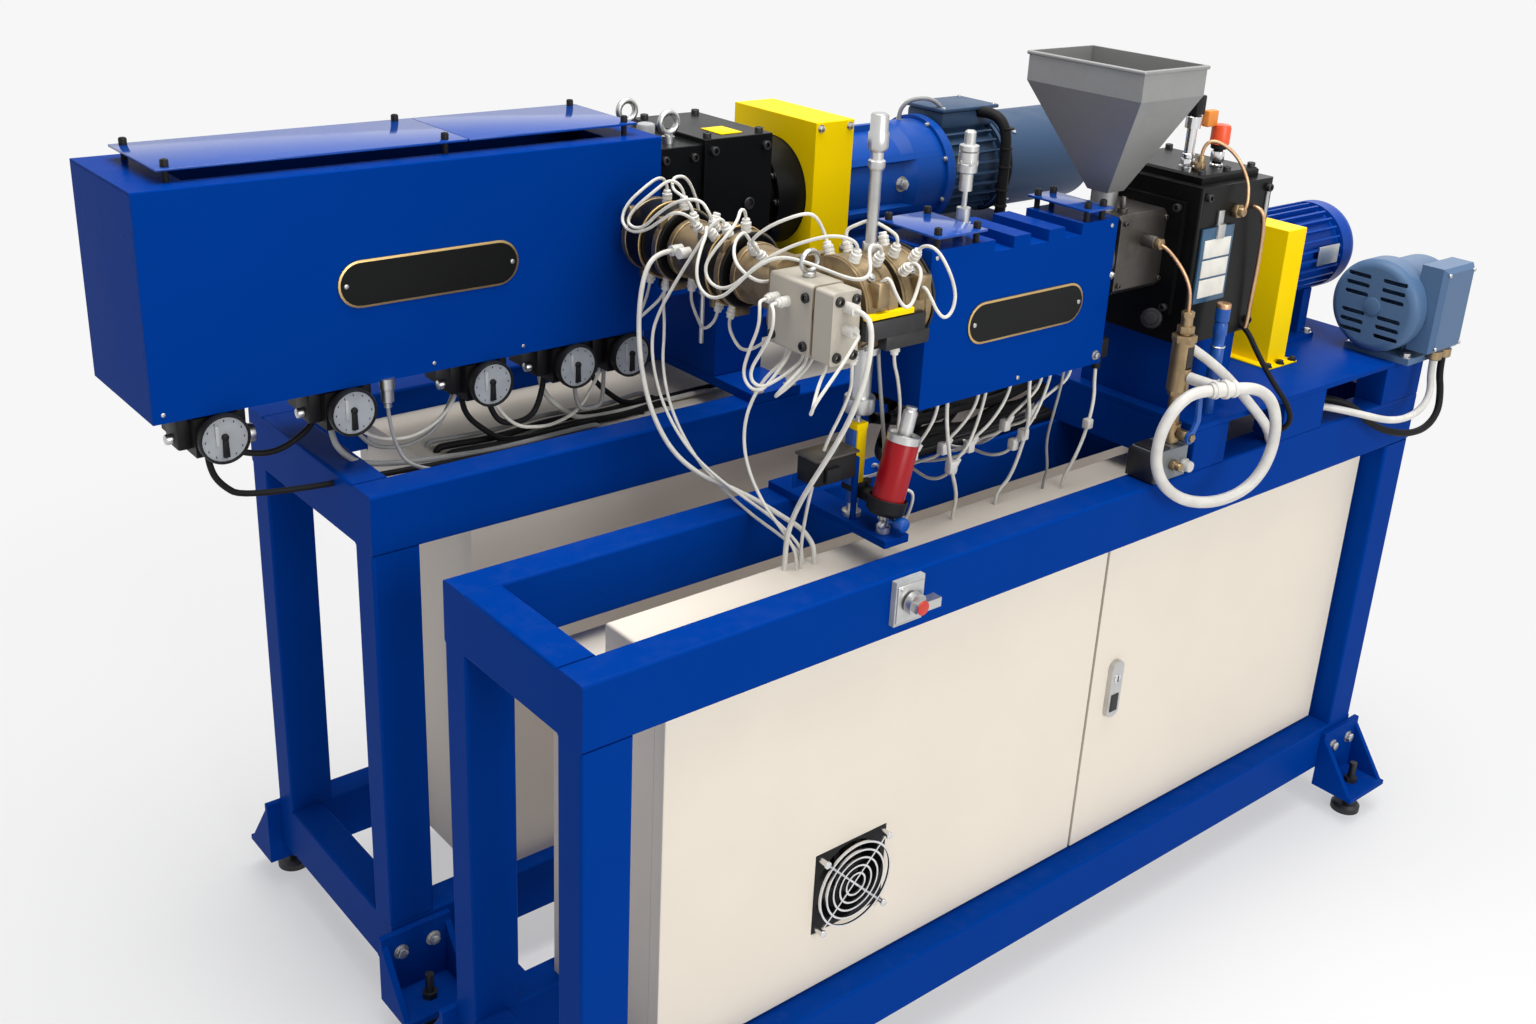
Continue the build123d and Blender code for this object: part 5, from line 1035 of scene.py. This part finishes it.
# %% The can and the leads beside it
LEAN = Vector((0.24, 0.0, 0.97)).normalized()
CAN = Vector((488, 84, 34))
can_body = Piece().turned(CAN + 10 * LEAN, LEAN, [(0, 0), (20.4, 0), (20.4, 82), (20, 83), (0, 83)], 40)
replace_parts(can_body.done("leaning_can", red_paint), "grease_can")
can_metal = Piece().turned(CAN + 92 * LEAN, LEAN, [
    (20.8, 0), (20.8, 9), (19, 10), (18, 6), (9, 6), (9, 38), (7, 40), (7, 44), (0, 44),
], 40)
can_metal.turned((488, 84, 10), UP, [
    (0, 0), (9, 0), (9, 8), (6, 9), (6, 30), (0, 30),
]).hex_bolt((478, 78, 24), FRONT, 5.0)
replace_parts(can_metal.done("can_rim_and_stem", steel), "grease_can")
can_cup = Piece().turned(CAN, LEAN, [
    (0, 0), (19, 0), (24, 5), (25, 20), (23.5, 21), (22, 10), (0, 10),
], 40)
can_cup.slab((488, 96, 36), (512, 140, 48), 3)
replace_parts(can_cup.done("can_cup", black_plastic), "grease_can")
can_knob = Piece().knob((496, 66, 26), FRONT, 9, 12).knob((490, 76, 26), (0.4, -0.9, 0), 4, 14)
can_knob.done("can_knob", blue_plastic)
lead("can_lead", [
    (512, 84, 60), (526, 82, 58), (540, 86, 44), (542, 96, 10), (532, 108, -12), (528, 112, -24),
    (528, 112, -37),
], 4, white_sleeve)
lead("strut_sensor_lead", [
    (512, 140, 240), (512, 140, 222), (514, 136, 190), (516, 130, 150), (516, 122, 112),
    (510, 110, 86), (500, 104, 64), (494, 100, 50),
], 5, grey_rubber)

# %% [markdown]
# Two pressure probes stand upright on the barrel, one plain and tall, the other with a row of nuts.

# %% Pressure probes
SENSOR_TALL = [
    (7, 0), (7, 94), (8.5, 96), (10, 99), (10, 106), (7.5, 108), (7.5, 116), (10.5, 118), (12, 122),
    (12, 138), (10.5, 140), (10.5, 158), (9, 160), (0, 160),
]
SENSOR_NUTS = [
    (10, 0), (10, 12), (8.5, 13), (8.5, 30), (3.4, 31), (3.4, 50), (8, 51), (8, 72), (12, 74),
    (12, 84), (11, 85), (12, 86), (12, 98), (10, 99), (12, 100), (12, 106), (7, 108), (7, 122),
    (5, 124), (0, 124),
]
probes = Piece()
for x, base, profile, stem, nut_z, nut_r, nut_tall in (
    (STRUT_X, 348, SENSOR_TALL, 26, 346, 10.5, 12), (642, 352, SENSOR_NUTS, 32, 434, 13, 7),
):
    probes.turned((x, HEAD_Y, base), UP, profile, 32)
    probes.turned((x, HEAD_Y, 322), UP, [(0, 0), (7, 0), (7, stem)])
    probes.prism((x, HEAD_Y, nut_z), UP, ring(6, nut_r), nut_tall, 0.8)
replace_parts(probes.done("pressure_probes", steel), "pressure_sensors")

# %% [markdown]
# Cables from the cooling valves drop to the top of the rear cabinet and run along it to the right.

# %% Cables of the rear unit
for i, (x, finish) in enumerate((
    (-150, black_rubber), (10, grey_rubber), (200, black_rubber),
    (330, white_sleeve), (420, black_rubber),
)):
    y = 572 + 14 * i
    reach = max(x + 60, 190)
    lead(f"valve_cable_{i + 1}", [
        (x, y, 94), (x, y, 74), (x + 8, y - 4, 48), (x + 40, y - 6, 20), (reach, y - 8, 6),
        (reach + 60, y - 8, 3), (reach + 130, y - 6, 3), (reach + 190 + 10 * i, y - 4, 3),
        (reach + 206 + 10 * i, y - 4, 2), (reach + 212 + 10 * i, y - 4, -5),
    ], 8, finish)
for i, (x, reach, drop, finish, thick) in enumerate((
    (-141, 19, 58, black_rubber, 8), (19, 211, 30, grey_rubber, 6), (19, 211, 44, white_sleeve, 5),
    (211, 341, 34, black_rubber, 8), (211, 429, 22, white_sleeve, 5), (341, 429, 36, grey_rubber, 6),
)):
    y = 612 - 7 * i
    middle = (x + reach) / 2
    lead(f"valve_link_{i + 1}", [
        (x + 20, y, 96), (x + 20, y, 82), (x + 0.25 * (reach - x), y - 6, drop + 8),
        (middle - 12, y - 10, drop), (middle + 14, y - 8, drop),
        (reach - 0.25 * (reach - x), y - 4, drop + 10), (reach - 18, y, 82), (reach - 18, y, 96),
    ], thick, finish)
lead("connector_lead", [
    (70, 548, 112), (70, 548, 98), (76, 546, 60), (90, 540, 26), (150, 532, 8), (172, 530, 2),
    (176, 530, -6),
], 5, grey_rubber)
for i, (x, y, finish, thick) in enumerate((
    (200, 520, white_sleeve, 5), (190, 600, black_rubber, 10), (188, 626, black_rubber, 10),
    (186, 650, grey_rubber, 7),
)):
    lead(f"tray_cable_{i + 1}", [
        (x - 14, y, -8), (x - 12, y, 2), (x, y - 2, 4), (x + 80, y - 12, 3), (x + 170, y + 6, 3),
        (x + 260, y - 10, 3), (x + 330, y + 4, 3), (x + 350, y + 4, 2), (x + 354, y + 4, -8),
    ], thick, finish)
print("cables ready")

# %% [markdown]
# Then come the fittings of the frames and the cabinet: the key place in the door's lock, the plate and
# the red disc of the main switch, the fan's screws, and the bolts that hold the foot brackets.

# %% Fittings of the frames and the cabinet
Piece().knob((932, 27, -318), FRONT, 7, 1.6).done("lock_barrel", chrome, "cabinet_door")
lock_slots = Piece().slab((931, 25, -323), (933, 26.6, -313))
lock_slots.slab((924, 26, -372), (940, 27.4, -344), 0.5)
lock_slots.done("lock_slots", dark_steel, "cabinet_door")
Piece().knob((449, -30, -33), FRONT, 9, 2.2).done("switch_red_disc", red_plastic, "main_switch")
switch_front_plate = Piece().slab((428, -10, -58), (470, -7.6, -10), 1)
switch_front_plate.knob((434, -10, -14), FRONT, 2.4, 1.6)
switch_front_plate.done("switch_front_plate", steel)
bracket_bolts = Piece()
for x in (32, 1558):
    for y, axis in ((-9, FRONT), (295, REAR), (454, FRONT), (837, REAR)):
        for side in (-1, 1):
            bracket_bolts.hex_bolt((x + side * 24, y, -636), axis, 8.0)
bracket_bolts.done("foot_bracket_bolts", steel)
Piece().collar((130, 108, -72), LEFT, 9, 16, 6).done("duct_grommet", black_rubber)
fan_screws = Piece().rows(Piece.knob, (376.5, 481.5), (22,), (-498.5, -393.5), FRONT, 5.0, 2.6)
fan_screws.done("fan_screws", chrome)
print("fittings ready")

# %% [markdown]
# The studio is a pale floor that turns to plain white a few metres away, with three large soft lamps:
# a main one overhead, one from the camera's side and a weak one at the right. Near the machine the
# floor takes its shadow; a mask on the distance hands over to an even white that lights like the floor.
# The world gives only a weak fill, but shows white to the camera and in metal and clear pieces.

# %% Studio
FLOOR_SIZE = 80.0
WHITE = (0.93, 0.93, 0.93, 1.0)
TO_MIDDLE = (-0.7, -0.45, 0)
SHADOW_END, WHITE_START, LEAST_WHITE = 0.7, 2.4, 0.45
ground = bmesh.new()
bmesh.ops.create_grid(ground, x_segments=1, y_segments=1, size=FLOOR_SIZE / 2)
floor_mesh = bpy.data.meshes.new("studio_floor")
ground.to_mesh(floor_mesh)
ground.free()
floor = bpy.data.objects.new("studio_floor", floor_mesh)
bpy.context.scene.collection.objects.link(floor)
floor_finish = Finish("studio_floor", 0.9)
floor_finish.feed({"Base Color": (0.80, 0.80, 0.80, 1.0), "Specular IOR Level": 0.0})
near = floor_finish.node(
    "ShaderNodeMapping", {}, {"Vector": floor_finish.place, "Location": TO_MIDDLE}
)
distance = floor_finish.node("ShaderNodeVectorMath", {"operation": "LENGTH"}, {0: near}, "Value")
white = floor_finish.node("ShaderNodeEmission", {}, {"Color": WHITE})
mask = floor_finish.grade(distance, SHADOW_END, WHITE_START, LEAST_WHITE, 1.0)
lit = Flow(floor_finish, floor_finish.shader.outputs[0])
blend = floor_finish.node("ShaderNodeMixShader", {}, {0: mask, 1: lit, 2: white})
floor_finish.tree.links.new(blend.socket, floor_finish.tree.nodes["Material Output"].inputs["Surface"])
floor_mesh.materials.append(floor_finish.material)


def lamp(name, at, aim, size, watts):
    light = bpy.data.lights.new(name, "AREA")
    light.size = size
    light.energy = watts
    holder = bpy.data.objects.new(name, light)
    holder.location = at
    holder.rotation_mode = "QUATERNION"
    holder.rotation_quaternion = (Vector(aim) - Vector(at)).to_track_quat("-Z", "Y")
    bpy.context.scene.collection.objects.link(holder)


MIDDLE = (0.75, 0.45, 0.8)
lamp("overhead", (0.6, 0.3, 4.2), MIDDLE, 3.2, 176)
lamp("camera_side", (0.4, -4.4, 2.4), MIDDLE, 2.6, 122)
lamp("right_rim", (4.4, 1.0, 2.6), MIDDLE, 2.4, 16)


class Sky(Finish):
    """The world's node tree, with the same kit as a material's."""

    def __init__(self, name):
        self.world = bpy.data.worlds.new(name)
        self.world.use_nodes = True
        self.tree = self.world.node_tree
        self.shader = self.tree.nodes["Background"]


FILL = 0.30
sky = Sky("studio")
seen, mirrored, through = [
    sky.node("ShaderNodeLightPath", {}, {}, ray)
    for ray in ("Is Camera Ray", "Is Glossy Ray", "Is Transmission Ray")
]
sky.feed({"Color": WHITE, "Strength": FILL + (1 - FILL) * (seen + mirrored + through)})
bpy.context.scene.world = sky.world
bpy.context.scene.view_settings.view_transform = "Standard"
print("studio ready")
